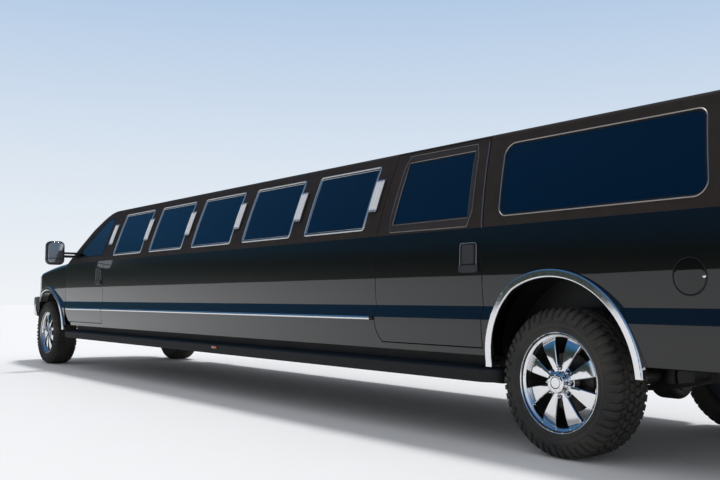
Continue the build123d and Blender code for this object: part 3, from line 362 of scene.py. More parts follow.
def add_node(tree, kind, values=None, links=None, **settings):
    """Adds a shader node, with its settings, socket values and incoming links."""
    node = tree.nodes.new(kind)
    for key, value in settings.items():
        setattr(node, key, value)
    for key, value in (values or {}).items():
        node.inputs[key].default_value = value
    for key, source in (links or {}).items():
        tree.links.new(source, node.inputs[key])
    return node


def new_material(name):
    """Empty material, its node tree and the coordinates of the piece in metres."""
    material = bpy.data.materials.new(name)
    material.use_nodes = True
    tree = material.node_tree
    tree.nodes.clear()
    place = add_node(tree, "ShaderNodeTexCoord").outputs["Object"]
    return material, tree, place


def finish_material(material, values, links):
    """Principled shader with its own constants and varied inputs, joined to the output."""
    tree = material.node_tree
    shader = add_node(tree, "ShaderNodeBsdfPrincipled", values, links)
    add_node(tree, "ShaderNodeOutputMaterial", links={"Surface": shader.outputs["BSDF"]})
    return material


def per_metre(size_mm):
    """Texture scale that repeats a pattern every size_mm."""
    return 1000 / size_mm


def grain(tree, place, size_mm, depth_mm, edge_mm=0, below=None, kind="ShaderNodeTexNoise"):
    """Normal with grain of one size and depth, over edges rounded by edge_mm or over another normal."""
    links = {}
    if edge_mm:
        below = add_node(tree, "ShaderNodeBevel", {"Radius": edge_mm * MM}, samples=4).outputs["Normal"]
    if below is not None:
        links["Normal"] = below
    texture = add_node(tree, kind, {"Scale": per_metre(size_mm)}, {"Vector": place})
    # The first output is a noise's factor or a Voronoi's distance.
    links["Height"] = texture.outputs[0]
    bump = add_node(tree, "ShaderNodeBump", {"Strength": 1.0, "Distance": depth_mm * MM}, links)
    return bump.outputs["Normal"]


def clouded(tree, place, size_mm, ends, detail=3.0):
    """Outputs by name that run between their two ends, colours or numbers, with soft clouds of one size."""
    values = {"Scale": per_metre(size_mm), "Detail": detail}
    cloud = add_node(tree, "ShaderNodeTexNoise", values, {"Vector": place}).outputs["Fac"]
    outputs = {}
    for name, (first, last) in ends.items():
        if name.endswith("Color"):
            mix = add_node(tree, "ShaderNodeMix", {6: first, 7: last}, {0: cloud}, data_type="RGBA")
            outputs[name] = mix.outputs[2]
        else:
            ramp = add_node(tree, "ShaderNodeMapRange", {"To Min": first, "To Max": last}, {"Value": cloud})
            outputs[name] = ramp.outputs["Result"]
    return outputs


def orange_peel(tree, place):
    """Normal of sprayed enamel: peel about 9 mm across over the slow waves of the pressed panel."""
    wave = grain(tree, place, 420, 0.35, edge_mm=3)
    return grain(tree, place, 9, 0.010, below=wave)


def covered_panel(name, enamel, covering, cover_foot):
    """Clear-coated enamel below the belt and grained vinyl covering above it, on one pressed panel.

    The enamel gives a deep mirror with a faint orange peel; the vinyl is matt, warm and fine-grained."""
    material, tree, place = new_material(name)
    height = add_node(tree, "ShaderNodeSeparateXYZ", links={"Vector": place}).outputs["Z"]
    edge = {"From Min": cover_foot - 0.5 * MM, "From Max": cover_foot + 0.5 * MM}
    cover = add_node(tree, "ShaderNodeMapRange", edge, {"Value": height}).outputs["Result"]
    vinyl = clouded(tree, place, 90, {"Color": covering})["Color"]
    colour = add_node(tree, "ShaderNodeMix", {6: enamel}, {0: cover, 7: vinyl}, data_type="RGBA")
    links = {"Base Color": colour.outputs[2]}
    # What the enamel has, then what the covering has
    ends = {"Roughness": (0.30, 0.62), "Coat Weight": (1.0, 0.0), "Depth": (0.0, 0.35 * MM)}
    for socket, (low, high) in ends.items():
        ramp = add_node(tree, "ShaderNodeMapRange", {"To Min": low, "To Max": high}, {"Value": cover})
        links[socket] = ramp.outputs["Result"]
    links["Coat Normal"] = orange_peel(tree, place)
    # Vinyl grain is 1.6 mm, drawn at 3 mm so that it shows.
    pebbles = add_node(tree, "ShaderNodeTexVoronoi", {"Scale": per_metre(3)}, {"Vector": place})
    sources = {0: pebbles.outputs["Distance"], 1: links.pop("Depth")}
    depth = add_node(tree, "ShaderNodeMath", links=sources, operation="MULTIPLY")
    sources = {"Height": depth.outputs[0], "Normal": links["Coat Normal"]}
    bump = add_node(tree, "ShaderNodeBump", {"Strength": 0.5, "Distance": 1.0}, sources)
    links["Normal"] = bump.outputs["Normal"]
    values = {"Coat Roughness": 0.02, "Coat IOR": 1.50, "IOR": 1.45, "Specular IOR Level": 0.14}
    return finish_material(material, values, links)


def clearcoat_enamel(name, colour):
    """Clear-coated enamel, sprayed and polished: deep colour with a sharp mirror and faint orange peel."""
    material, tree, place = new_material(name)
    values = {"Base Color": colour, "Coat Weight": 1.0, "Coat Roughness": 0.02, "Coat IOR": 1.50}
    values["Specular IOR Level"] = 0.06
    links = clouded(tree, place, 140, {"Roughness": (0.26, 0.34)})
    links["Normal"] = links["Coat Normal"] = orange_peel(tree, place)
    return finish_material(material, values, links)


def grained_vinyl(name, colours):
    """Vinyl roof covering, calendered and grained: matt, warm, with a fine leather-like pebble."""
    material, tree, place = new_material(name)
    links = clouded(tree, place, 90, {"Base Color": colours})
    links["Normal"] = grain(tree, place, 3, 0.18, edge_mm=4, kind="ShaderNodeTexVoronoi")
    return finish_material(material, {"Roughness": 0.62, "Specular IOR Level": 0.35}, links)


def plated_metal(name, colour, roughness):
    """Plated or anodised metal, polished or brushed: a mirror as sharp as its roughness lets it be."""
    material, tree, place = new_material(name)
    links = clouded(tree, place, 25, {"Roughness": roughness})
    # The pressing below the plate leaves faint waves.
    links["Normal"] = grain(tree, place, 60, 0.05, edge_mm=1.5)
    return finish_material(material, {"Base Color": colour, "Metallic": 1.0}, links)


def tinted_glass(name, colour, film, clear):
    """Float glass with a dyed film: a sharp cool mirror over a dim, coloured view of the inside."""
    material, tree, place = new_material(name)
    values = {"Base Color": colour, "Specular Tint": film, "Transmission Weight": clear, "IOR": 1.5}
    links = clouded(tree, place, 120, {"Roughness": (0.01, 0.04)})
    links["Normal"] = grain(tree, place, 400, 0.05)
    return finish_material(material, values, links)


def moulded_plastic(name, colours, roughness=0.5, grain_mm=1.2):
    """Polypropylene or rubber, moulded with a spark-eroded grain: dark, soft sheen, fine pebble."""
    material, tree, place = new_material(name)
    ends = {"Base Color": colours, "Roughness": (roughness - 0.06, roughness + 0.08)}
    links = clouded(tree, place, 45, ends)
    links["Normal"] = grain(tree, place, grain_mm, 0.05, edge_mm=2)
    return finish_material(material, {"Specular IOR Level": 0.45}, links)


def tread_rubber(name, colours, dust):
    """Natural and styrene rubber, vulcanised in a mould: dull black under grey-brown road dust."""
    material, tree, place = new_material(name)
    links = clouded(tree, place, 55, {"Base Color": colours, "Roughness": (0.68, 0.9)}, 4.0)
    drift = clouded(tree, place, 190, {"Dust": (-0.35, 0.85)}, 2.0)["Dust"]
    dusty = add_node(tree, "ShaderNodeMix", {7: dust}, {0: drift, 6: links["Base Color"]}, data_type="RGBA")
    links["Base Color"] = dusty.outputs[2]
    links["Normal"] = grain(tree, place, 2.5, 0.12)
    return finish_material(material, {"Specular IOR Level": 0.35}, links)


def chassis_steel(name, colours, roughness=0.6):
    """Mild steel, welded and dipped in black chassis paint: satin, uneven, with dried road dust."""
    material, tree, place = new_material(name)
    ends = {"Base Color": colours, "Roughness": (roughness - 0.1, roughness + 0.15)}
    links = clouded(tree, place, 60, ends, 5.0)
    links["Normal"] = grain(tree, place, 4, 0.15, edge_mm=2)
    return finish_material(material, {}, links)


def machined_steel(name, colours):
    """Carbon steel, forged and turned: grey metal with a fine turned sheen and patches of brown."""
    material, tree, place = new_material(name)
    links = clouded(tree, place, 30, {"Base Color": colours, "Roughness": (0.32, 0.55)}, 4.0)
    links["Normal"] = grain(tree, place, 3, 0.05)
    return finish_material(material, {"Metallic": 1.0}, links)


def lamp_lens(name, colour, clear=0.85):
    """Acrylic lens, injection moulded with fluted optics inside: glossy, clear, broken by fine ribs."""
    material, tree, place = new_material(name)
    # A wave texture at a scale of 1 has 20 / (2 pi) bands in a metre. The flutes are 14.8 mm apart.
    scale = per_metre(14.8) * 2 * pi / 20
    bands = {"wave_type": "BANDS", "bands_direction": "Y"}
    flutes = add_node(tree, "ShaderNodeTexWave", {"Scale": scale}, {"Vector": place}, **bands)
    sources = {"Height": flutes.outputs["Fac"]}
    bump = add_node(tree, "ShaderNodeBump", {"Strength": 0.5, "Distance": 1.2 * MM}, sources)
    values = {"Base Color": colour, "Transmission Weight": clear, "IOR": 1.49, "Roughness": 0.06}
    values["Coat Weight"] = 1.0
    return finish_material(material, values, {"Normal": bump.outputs["Normal"]})


def opal_acrylic(name, colour):
    """Opal acrylic, extruded as ribbed tube: milk white all through, with a clean gloss on top."""
    material, tree, place = new_material(name)
    values = {"Base Color": colour, "IOR": 1.49, "Coat Weight": 1.0, "Coat Roughness": 0.05}
    links = clouded(tree, place, 30, {"Roughness": (0.22, 0.34)})
    links["Normal"] = add_node(tree, "ShaderNodeBevel", {"Radius": 1 * MM}, samples=4).outputs["Normal"]
    return finish_material(material, values, links)


def grained_leather(name, colours):
    """Cow hide, corrected and embossed: soft sheen, irregular pores and slightly lighter worn crowns."""
    material, tree, place = new_material(name)
    links = clouded(tree, place, 80, {"Base Color": colours, "Roughness": (0.38, 0.55)})
    pores = grain(tree, place, 3.5, 0.25, kind="ShaderNodeTexVoronoi")
    links["Normal"] = grain(tree, place, 14, 0.5, below=pores)
    return finish_material(material, {"Sheen Weight": 0.15, "Sheen Roughness": 0.4}, links)


def make_materials():
    """All finishes by the name that the pieces ask for."""
    c = bpy.context.scene.limousine_colours
    covering = (c.cover_dark, c.cover_light)
    foot = bpy.context.scene.limousine_trims.cover_foot
    MATERIALS.update(
        panel=covered_panel("enamel and vinyl on pressed steel", c.enamel, covering, foot),
        enamel=clearcoat_enamel("clear-coated black enamel", c.enamel),
        vinyl=grained_vinyl("grained vinyl covering", covering),
        chrome=plated_metal("polished chromium plate", c.chrome, (0.04, 0.10)),
        satin=plated_metal("satin stainless steel", c.satin, (0.34, 0.46)),
        # Dull aluminium also draws painted highlights: the light lines along the rear doors' covered window
        # frames.
        dim=plated_metal("dull anodised aluminium", c.anodised, (0.42, 0.52)),
        glass=tinted_glass("privacy glass", c.privacy_glass, c.glass_film, 0.55),
        screen=tinted_glass("laminated screen glass", c.screen_glass, c.glass_film, 0.95),
        plastic=moulded_plastic("moulded black polypropylene", (c.plastic_dark, c.plastic_light)),
        trim=moulded_plastic("moulded grey trim", (c.trim_dark, c.trim_light), 0.6),
        gasket=moulded_plastic("extruded black rubber", (c.gasket_dark, c.gasket_light), 0.65, 3),
        rubber=tread_rubber("vulcanised tyre rubber", (c.tyre_dark, c.tyre_light), c.road_dust),
        chassis=chassis_steel("dipped chassis paint on steel", (c.chassis_dark, c.chassis_light)),
        cast=chassis_steel("sand-cast iron", (c.iron_dark, c.iron_light), 0.7),
        steel=machined_steel("turned carbon steel", (c.steel_dark, c.steel_light)),
        clear=lamp_lens("clear acrylic lens", c.clear_lens),
        red=lamp_lens("red acrylic lens", c.red_lens, 0.5),
        amber=lamp_lens("amber acrylic lens", c.amber_lens, 0.5),
        opal=opal_acrylic("opal acrylic tube", c.opal),
        leather=grained_leather("black upholstery leather", (c.leather_dark, c.leather_light)),
    )


def paint_nodes():
    """Gives every CAD node the finish of the real piece."""
    finish_of = {
        "body_sides": "panel", "roof_panel": "vinyl", "front_fenders": "enamel", "hood": "enamel",
        "grille": "chrome", "headlamps": "clear", "taillamps": "red", "front_bumper": "chrome",
        "rear_bumper": "enamel", "fixed_glass": "glass", "opera_lights": "trim", "arch_trims": "chrome",
        "running_boards": "gasket", "fuel_tank": "plastic", "exhaust": "steel", "engine_block": "cast",
        "driveshaft": "chassis", "front_axle": "chassis", "rear_axle": "chassis", "dashboard": "trim",
        "frame_rails": "chassis", "floor_pan": "chassis", "wheel_liners": "plastic", "partition": "trim",
        "seats": "leather", "steering_wheel": "leather", "liftgate": "panel", "liftgate_glass": "glass",
    }
    # Repeated nodes by how their names start, a door's glass before the door
    starts = (
        ("knuckle", "cast"), ("rim", "chrome"), ("tyre", "rubber"), ("mirror", "plastic"),
        ("lower_door", "enamel"), ("front_door_glass", "screen"), ("rear_door_glass", "glass"),
        ("front_door", "panel"), ("rear_door", "panel"),
    )
    for name, node in NODES.items():
        if name in finish_of:
            finish = finish_of[name]
        else:
            finish = next(value for start, value in starts if name.startswith(start))
        slots = node.data.materials
        slots.clear()
        slots.append(MATERIALS[finish])


# Windows and side trims


def frame_bead(faces, facing, inner, outer, sunk, proud):
    """Half-round bead round a pane, from inner to outer beyond its edge."""
    loop, ups = thinned(*rim_loop(faces, facing))
    middle = (inner + outer) / 2
    profile = ((inner, sunk), (inner, proud * 0.5), (middle, proud), (outer, proud * 0.5), (outer, sunk))
    return strip(loop, ups, profile, closed=True)


def window_trims():
    """Frames round the side windows: bright beads on the fixed panes, covered frames on the rear doors."""
    sizes = bpy.context.scene.limousine_trims
    panes = [("fixed_glass", "chassis", side, faces) for side, faces in pane_solids("fixed_glass") if side]
    for name in ("front_door", "rear_door"):
        for word, side in SIDES:
            for _, faces in pane_solids(f"{name}_glass_{word}"):
                panes.append((name, f"{name}_{word}", side, faces))
    rise = 0.006 + sizes.bead_height
    # columns: label, inner and outer edge beyond the pane, inner height, outer height, finish
    kinds = {
        "bright": (
            ("bead", -0.002, sizes.bead_width, 0.0005, rise, "satin"),
            ("line", -0.0135, -0.0095, -0.001, 0.0045, "satin"),
        ),
        "thin": (("bead", -0.002, 0.007, 0.0005, rise - 0.001, "dim"),),
        "covered": (
            ("frame", -0.004, 0.030, 0.0005, rise + 0.002, "vinyl"),
            # The two dull lines are painted highlights: light strips along the covered frame's outer and
            # inner edges, where its rounded edges would catch the sky.
            ("line", 0.029, 0.0335, 0.0005, rise + 0.001, "dim"),
            ("inner_line", -0.0065, -0.0025, -0.001, rise - 0.002, "dim"),
        ),
        "black": (("frame", -0.003, 0.014, 0.0005, rise, "gasket"),),
    }
    shortest_thin = 1
    for index, (name, body, side, faces) in enumerate(panes):
        xs = [p.x for _, ring in faces for p in ring]
        kind = {"front_door": "black", "rear_door": "covered"}.get(name, "bright")
        if name == "fixed_glass" and max(xs) - min(xs) > shortest_thin:
            kind = "thin"
        for label, *edges, finish in kinds[kind] + (("seal", -0.012, 0.0, -0.001, 0.0035, "gasket"),):
            add_piece(f"window_{label}_{index:02d}", frame_bead(faces, LEFT * side, *edges), finish, body)


def door_edges():
    """Fine bright edging up the rear edge of each rear door, above the belt."""
    foot = bpy.context.scene.limousine_trims.cover_foot
    profile = mirrored(((0.003, 0.0), (0.002, 0.0035)))
    for word, side in SIDES:
        node = f"rear_door_{word}"
        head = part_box(node)[1].z - 0.028
        spots = [edge_point(node, z, side, 0.007) for z in spaced(foot, head, 15)]
        add_piece(f"door_edging_{word}", strip_over(spots, profile), "dim", node)


def opera_lights():
    """Ribbed opal lamps between the side windows, with a bright cap at each end."""
    ribs = bpy.context.scene.limousine_trims.lamp_ribs
    # Shares of the lamp's height: a cap ends at the second and starts at the last but one.
    heights = (0.03, 0.075, 0.2, 0.35, 0.5, 0.65, 0.8, 0.925, 0.97)
    corner = 0.012
    for index, (side, faces) in enumerate(pane_solids("opera_lights")):
        outer = [p for normal, ring in faces if normal.y * side > 0.5 for p in ring]
        low_z, high_z = min(p.z for p in outer), max(p.z for p in outer)
        foot = [p.x for p in outer if p.z < low_z + corner]
        head = [p.x for p in outer if p.z > high_z - corner]
        profile = half_round((max(head) - min(head)) / ribs * 0.37, 0.011, 0.003, 6, rise=0.0005)
        wider = [(a * 1.06, u * 1.10 + 0.0004) for a, u in profile]
        tubes, caps = [], []
        for rib in range(ribs):
            share = (rib + 0.5) / ribs
            x_foot = min(foot) + (max(foot) - min(foot)) * share
            x_head = min(head) + (max(head) - min(head)) * share
            spots = []
            for height in heights:
                z = low_z + (high_z - low_z) * height
                spots.append(outer_of(faces, x_foot + (x_head - x_foot) * height, z, side))
            tubes.append(strip_over(spots, profile))
            caps += [strip_over(spots[:2], wider), strip_over(spots[-2:], wider)]
        add_piece(f"opera_tubes_{index:02d}", join_parts(tubes), "opal", "chassis", sharp=50)
        add_piece(f"opera_caps_{index:02d}", join_parts(caps), "satin", "chassis", sharp=50)


def side_stripe():
    """Bright moulding along the side, from the front door to just ahead of the rear door."""
    sizes = bpy.context.scene.limousine_trims
    profile = half_round(sizes.stripe_height / 2, sizes.stripe_proud, 0.004, 8)
    gap = 0.006
    for word, side in SIDES:
        door = f"front_door_{word}"
        low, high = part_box(door)
        rear_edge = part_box(f"rear_door_{word}")[1].x
        runs = (
            (door, door, low.x + gap, high.x - 0.06),
            ("body_sides", "chassis", rear_edge + 0.05, low.x - 2 * gap),
        )
        for node, body, x_rear, x_front in runs:
            spots = [skin_point(node, x, sizes.stripe_z, side) for x in spaced(x_rear, x_front, 7)]
            add_piece(f"side_stripe_{body}_{word}", strip_over(spots, profile), "chrome", body)
        place = skin_point("body_sides", rear_edge + 0.035, sizes.stripe_z, side)[0]
        tip = side_block(place, side, 0.018, 0.013, 0.003, 0.009, 0.003)
        add_piece(f"stripe_end_{word}", tip, "gasket", "chassis")


def door_handles():
    """Upright pull handles: a thin bezel ringed by a painted highlight, the recessed well, the lifting
    paddle and its flared foot.
    """
    sizes = bpy.context.scene.limousine_trims
    half_x, foot, head = sizes.handle_width / 2, sizes.handle_foot, sizes.handle_head
    tall = (head - foot) / 2
    outline = rounded_outline(half_x, tall, (0.016,) * 4)
    ups = [LEFT] * len(outline)
    bezel = ((-0.0045, -0.006), (-0.004, 0.006), (0, 0.0085), (0.004, 0.004), (0.005, -0.006))
    # The edge is a thin satin ring on the bezel's crest: a painted highlight where the glossy bezel would
    # catch the sky.
    edge = ((-0.0015, 0.004), (-0.001, 0.0095), (0.001, 0.0095), (0.0015, 0.004))
    paddle = [p + UP * (tall * 0.22) for p in rounded_outline(half_x - 0.018, tall * 0.70, (0.012,) * 4)]
    flare = [p - UP * (tall * 0.78) for p in rounded_outline(half_x + 0.010, tall * 0.24, (0.008,) * 4)]
    pieces = (
        ("bezel", strip(outline, ups, bezel, True), "enamel"),
        # Painted highlight round the bezel.
        ("edge", strip(outline, ups, edge, True), "satin"),
        ("well", slab([p * 0.96 for p in outline], -0.006, 0.0015, 0.001), "plastic"),
        ("paddle", slab(paddle, -0.002, 0.013, 0.005), "trim"),
        ("flare", slab(flare, -0.002, 0.0155, 0.006), "trim"),
    )
    for word, side in SIDES:
        for door, ahead in (("front_door", sizes.front_handle), ("rear_door", sizes.rear_handle)):
            node = f"{door}_{word}"
            place, normal = skin_point(node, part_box(node)[0].x + ahead, (foot + head) / 2, side)
            along = UP.cross(normal).normalized() * -side
            basis = basis_at(place, along, normal, along.cross(normal) * side)
            for label, part, finish in pieces:
                add_piece(f"handle_{label}_{node}", moved(part, basis), finish, node)


def fuel_flap():
    """Round fuel flap on the left quarter panel, with its seam and finger notch."""
    sizes = bpy.context.scene.limousine_trims
    radius = sizes.flap_radius
    place, normal = skin_point("body_sides", sizes.flap_x, sizes.flap_z, 1)
    beside = place - FORWARD * radius * 0.86
    seam = ((radius, -0.003), (radius + 0.004, -0.003), (radius + 0.004, 0.0015), (radius, 0.0015))
    rim = ((radius - 0.004, 0.0015), (radius - 0.001, -0.003))
    disc = ((0.0, 0.0025), (radius * 0.8, 0.0025), *rim, (0.0, -0.003))
    notch = ((0.0, 0.004), (0.007, 0.0035), (0.01, 0.0), (0.0, 0.0))
    add_piece("fuel_flap_seam", lathe(seam, place, 96, normal), "gasket", "chassis")
    add_piece("fuel_flap_disc", lathe(disc, place, 96, normal), "enamel", "chassis")
    add_piece("fuel_flap_notch", lathe(notch, beside, 24, normal), "chrome", "chassis")


def mirrors():
    """Mirror glass on the rear face of each door mirror, split above a small wide-angle glass."""
    housing_half, rim, seam = 0.1025, 0.014, 0.004
    tight, wide = 0.006, 0.046
    for word, side in SIDES:
        low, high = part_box(f"mirror_{word}")
        middle_y = side * (max(abs(low.y), abs(high.y)) - housing_half)
        foot, head = low.z + 0.016, high.z - 0.016
        split = foot + (head - foot) * 0.24
        parts = []
        for z_low, z_high, radii in (
            (foot, split - seam, (tight, tight, wide, wide)),
            (split + seam, head, (wide, wide, tight, tight)),
        ):
            outline = rounded_outline(housing_half - rim, (z_high - z_low) / 2, radii)
            place = Vector((low.x + 0.0005, middle_y, (z_low + z_high) / 2))
            parts.append(moved(slab(outline, -0.004, 0.003, 0.0015), basis_at(place, LEFT, -FORWARD, UP)))
        add_piece(f"mirror_glass_{word}", join_parts(parts), "chrome", f"front_door_{word}")


# Wheels


def tyre_section():
    """Carcass outline from bead to bead as (y, radius), with the tread's shoulders."""
    half = (
        (0.118, 0.257), (0.126, 0.266), (0.137, 0.285), (0.1415, 0.312), (0.1405, 0.336), (0.134, 0.358),
        (0.124, 0.375), (0.108, 0.3850), (0.07, 0.3880), (0.0, 0.3890),
    )
    return list(half) + [(-y, r) for y, r in reversed(half[:-1])]


def along_section(points, lengths, distance):
    """Point (y, r) and outward normal on the section at a distance from its middle."""
    total = lengths[-1]
    at = min(max(total / 2 + distance, 0.0), total)
    i = next(i for i in range(len(points) - 1) if at <= lengths[i + 1] or i == len(points) - 2)
    share = (at - lengths[i]) / (lengths[i + 1] - lengths[i])
    (y0, r0), (y1, r1) = points[i], points[i + 1]
    dy, dr = y1 - y0, r1 - r0
    size = hypot(dy, dr)
    return (y0 + dy * share, r0 + dr * share), (-dr / size, dy / size)


def lug(points, lengths, stations, height):
    """Tread block over (distance, low angle, high angle) stations, with a chamfered top."""
    chamfer, root = 0.002, 0.002
    outwards = 1 if stations[-1][0] > stations[0][0] else -1
    insets = [outwards * chamfer] + [0.0] * (len(stations) - 2) + [-outwards * chamfer]
    rings = []
    for (distance, low, high), inset in zip(stations, insets):
        (y, r), (ny, nr) = along_section(points, lengths, distance)
        (ty, tr), (tny, tnr) = along_section(points, lengths, distance + inset)
        lean = chamfer / r
        top_y, top_r = ty + tny * height, tr + tnr * height
        base_y, base_r = y - ny * root, r - nr * root
        corners = (
            (base_y, base_r, low), (top_y, top_r, low + lean),
            (top_y, top_r, high - lean), (base_y, base_r, high),
        )
        rings.append([Vector((pr * sin(angle), py, pr * cos(angle))) for py, pr, angle in corners])
    return swept(rings, False)


def tyre_mesh():
    """All-terrain tyre about the origin: carcass, staggered tread blocks and lugs over the shoulders."""
    sizes = bpy.context.scene.limousine_tyres
    points = list(reversed(tyre_section()))
    lengths = [0.0]
    for (y0, r0), (y1, r1) in zip(points, points[1:]):
        lengths.append(lengths[-1] + hypot(y1 - y0, r1 - r0))
    closed = [(r, y) for y, r in points] + [(0.252, 0.10), (0.252, -0.10)]
    parts = [lathe(closed, Vector(), 96)]
    pitch = 2 * pi / sizes.lugs
    lean = pitch * 0.16
    for index in range(sizes.lugs):
        # Every other shoulder lug is longer and wider.
        reach, wide = (0.176, pitch * 0.72) if index % 2 == 0 else (0.160, pitch * 0.60)
        for side in (-1, 1):
            shift = index * pitch + (pitch / 2 if side > 0 else 0)
            back = shift - lean
            # columns: distance from the tread's middle, start and end round the tyre
            rows = (
                (
                    (0.088, shift, shift + wide), (0.108, back, back + wide), (0.132, back, back + wide),
                    (0.150, back, back + wide * 0.9), (reach, shift - lean * 0.6, back + wide * 0.74),
                ),
                (
                    (0.046, shift + lean, shift + pitch * 0.70),
                    (0.062, shift + lean * 2.4, shift + pitch * 0.92),
                    (0.080, shift + lean * 1.2, shift + pitch * 0.74),
                ),
                (
                    (0.006, shift - lean, shift + pitch * 0.56),
                    (0.022, shift - lean * 2.6, shift + pitch * 0.40),
                    (0.039, shift - lean * 1.4, shift + pitch * 0.58),
                ),
            )
            for row in rows:
                stations = [(side * distance, low, high) for distance, low, high in row]
                parts.append(lug(points, lengths, stations, sizes.lug_height))
    for side in (-1, 1):
        # columns: radius, distance from the tyre's middle and height of a ring on the sidewall
        for radius, y, proud in ((0.292, 0.1388, 0.002), (0.322, 0.1412, 0.0016)):
            foot = side * (y - 0.002)
            ring = ((radius - 0.004, foot), (radius, side * (y + proud)), (radius + 0.004, foot))
            parts.append(lathe(ring, Vector(), 96))
    return join_parts(parts)


def tyres():
    """Lugged tyres over the four rims."""
    part = tyre_mesh()
    for wheel, _ in WHEELS:
        place = Matrix.Translation(wheel_centre(wheel))
        piece = add_piece(f"tread_tyre_{wheel}", moved(part, place), "rubber", f"wheel_{wheel}", sharp=40)
        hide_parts(f"tyre_{wheel}")


def bolt_heads(count, circle, height, radius, corners, shift=0.0):
    """Low bolt heads round a wheel's axis."""
    head = ((0.0, 0.0018), (radius - 0.0006, 0.0016), (radius, 0.0), (0.0, -0.001))
    return [lathe(head, spot, corners) for spot in ring_of_points(count, circle, height, shift)]


def rim_face():
    """Bright face of a wheel about the origin, outwards along y: eight widening blades, lip and hub."""
    blades, root, round_edge, crown = 8, 0.024, 0.0045, 0.0004
    # columns: radius, half of the blade's width, height of its face
    stations = (
        (0.060, 0.0140, 0.1080), (0.080, 0.0175, 0.1084), (0.110, 0.0240, 0.1078), (0.150, 0.0325, 0.1060),
        (0.190, 0.0405, 0.1024), (0.218, 0.0455, 0.0974), (0.234, 0.0480, 0.0908), (0.2425, 0.0490, 0.0810),
    )
    parts = []
    for k in range(blades):
        angle = 2 * pi * (k + 0.5) / blades
        out = Vector((cos(angle), 0, sin(angle)))
        across = Vector((-sin(angle), 0, cos(angle)))
        rings = []
        for radius, half, face in stations:
            edge = mirrored((
                (-half, face - root), (-half, face - round_edge), (-half + 0.0035, face - 0.0006),
                (-half * 0.5, face + crown),
            ))
            rings.append([out * radius + across * a + LEFT * y for a, y in edge])
        parts.append(swept(rings, False))
    lip = (
        (0.2400, 0.078), (0.2405, 0.1035), (0.2425, 0.1074), (0.2455, 0.1092), (0.2530, 0.1120),
        (0.2580, 0.1160), (0.2625, 0.1232), (0.2652, 0.1276), (0.2680, 0.1270), (0.2690, 0.1225),
        (0.2680, 0.1195), (0.2590, 0.1140), (0.2560, 0.100), (0.2500, 0.078),
    )
    hub = ((0.0, 0.1005), (0.088, 0.1005), (0.092, 0.0965), (0.092, 0.060), (0.074, 0.026), (0.0, 0.026))
    parts += [lathe(lip, Vector(), 96), lathe(hub, Vector(), 64)]
    return join_parts(parts + bolt_heads(16, 0.2500, 0.1108, 0.0032, 10, 0.25))


def hub_cap():
    """Round cap about the origin, bolted round its rim, its middle left plain."""
    cap = (
        (0.0, 0.1434), (0.020, 0.1432), (0.0285, 0.1428), (0.0295, 0.1412), (0.0325, 0.1412),
        (0.0335, 0.1436), (0.0500, 0.1434), (0.0555, 0.1405), (0.0580, 0.1330), (0.0590, 0.0990),
        (0.0, 0.0990),
    )
    return join_parts([lathe(cap, Vector(), 64)] + bolt_heads(8, 0.0425, 0.1434, 0.0036, 6))


def wheel_dressing():
    """The wheels' faces, brake discs, hub caps, nuts and valves; their dark barrels, the dark discs round
    the nuts and the dark ring in each cap are painted shade.
    """
    sizes = bpy.context.scene.limousine_tyres
    barrel = (
        (0.2395, 0.079), (0.2340, 0.030), (0.2300, 0.000), (0.2340, -0.060), (0.2420, -0.118),
        (0.2680, -0.122), (0.2680, -0.127), (0.2480, -0.127), (0.2440, -0.100), (0.2430, -0.060),
        (0.2430, 0.0), (0.2470, 0.079),
    )
    disc = ((0.074, 0.026), (0.160, 0.0245), (0.162, 0.022), (0.162, 0.008), (0.160, 0.006), (0.074, 0.006))
    nut = ((0.0, 0.0245), (0.0055, 0.0235), (0.0086, 0.019), (0.0095, 0.013), (0.0103, 0.0), (0.0, 0.0))
    # Painted shade: the dark rubber discs round the nuts and the dark ring in the cap's groove stand for
    # the shade in those recesses.
    pocket = ((0.0, 0.0008), (0.0132, 0.0008), (0.0136, -0.001), (0.0, -0.001))
    groove = ((0.0298, 0.1419), (0.0322, 0.1419), (0.0322, 0.1405), (0.0298, 0.1405))
    valve = ((0.0, 0.034), (0.0024, 0.034), (0.0028, 0.021), (0.0040, 0.018), (0.0046, 0.0), (0.0, 0.0))
    spots = ring_of_points(sizes.lug_nuts, sizes.nut_circle, sizes.hub_face)
    pockets = [lathe(pocket, spot, 20) for spot in spots] + [lathe(groove, Vector(), 48)]
    dressing = (
        ("rim_face", rim_face(), "chrome"),
        # Painted shade: the real barrel is bright chrome, and dark chassis paint stands in for the shade
        # inside the wheel.
        ("barrel", lathe(barrel, Vector(), 72), "chassis"),
        ("brake_disc", lathe(disc, Vector(), 64), "steel"),
        ("hub_cap", hub_cap(), "chrome"),
        ("lug_nuts", join_parts([lathe(nut, spot, 6) for spot in spots]), "chrome"),
        # Dark rubber round each nut and in the cap's groove, as painted shade.
        ("pockets", join_parts(pockets), "gasket"),
        ("valve", lathe(valve, Vector((0.226, 0.058, 0.0)), 12), "gasket"),
    )
    for wheel, side in WHEELS:
        turn = Matrix.Rotation(0 if side > 0 else pi, 4, "Z")
        basis = Matrix.Translation(wheel_centre(wheel)) @ turn
        for label, part, finish in dressing:
            piece = add_piece(f"{label}_{wheel}", moved(part, basis), finish, f"wheel_{wheel}", sharp=30)
            if label == "rim_face":
                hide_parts(f"rim_{wheel}")


# Front and rear ends


def nose_spots(node, side, y_in, y_out, z, count, sunk=0.0):
    """Points below a node's front face at one height, from the car's left to its right, facing ahead."""
    spots = []
    for y in spaced(side * y_in, side * y_out, count):
        place = ray_point(node, (FAR_X, y, z), -FORWARD)[0]
        spots.append((place - FORWARD * sunk, FORWARD))
    return spots if side > 0 else spots[::-1]


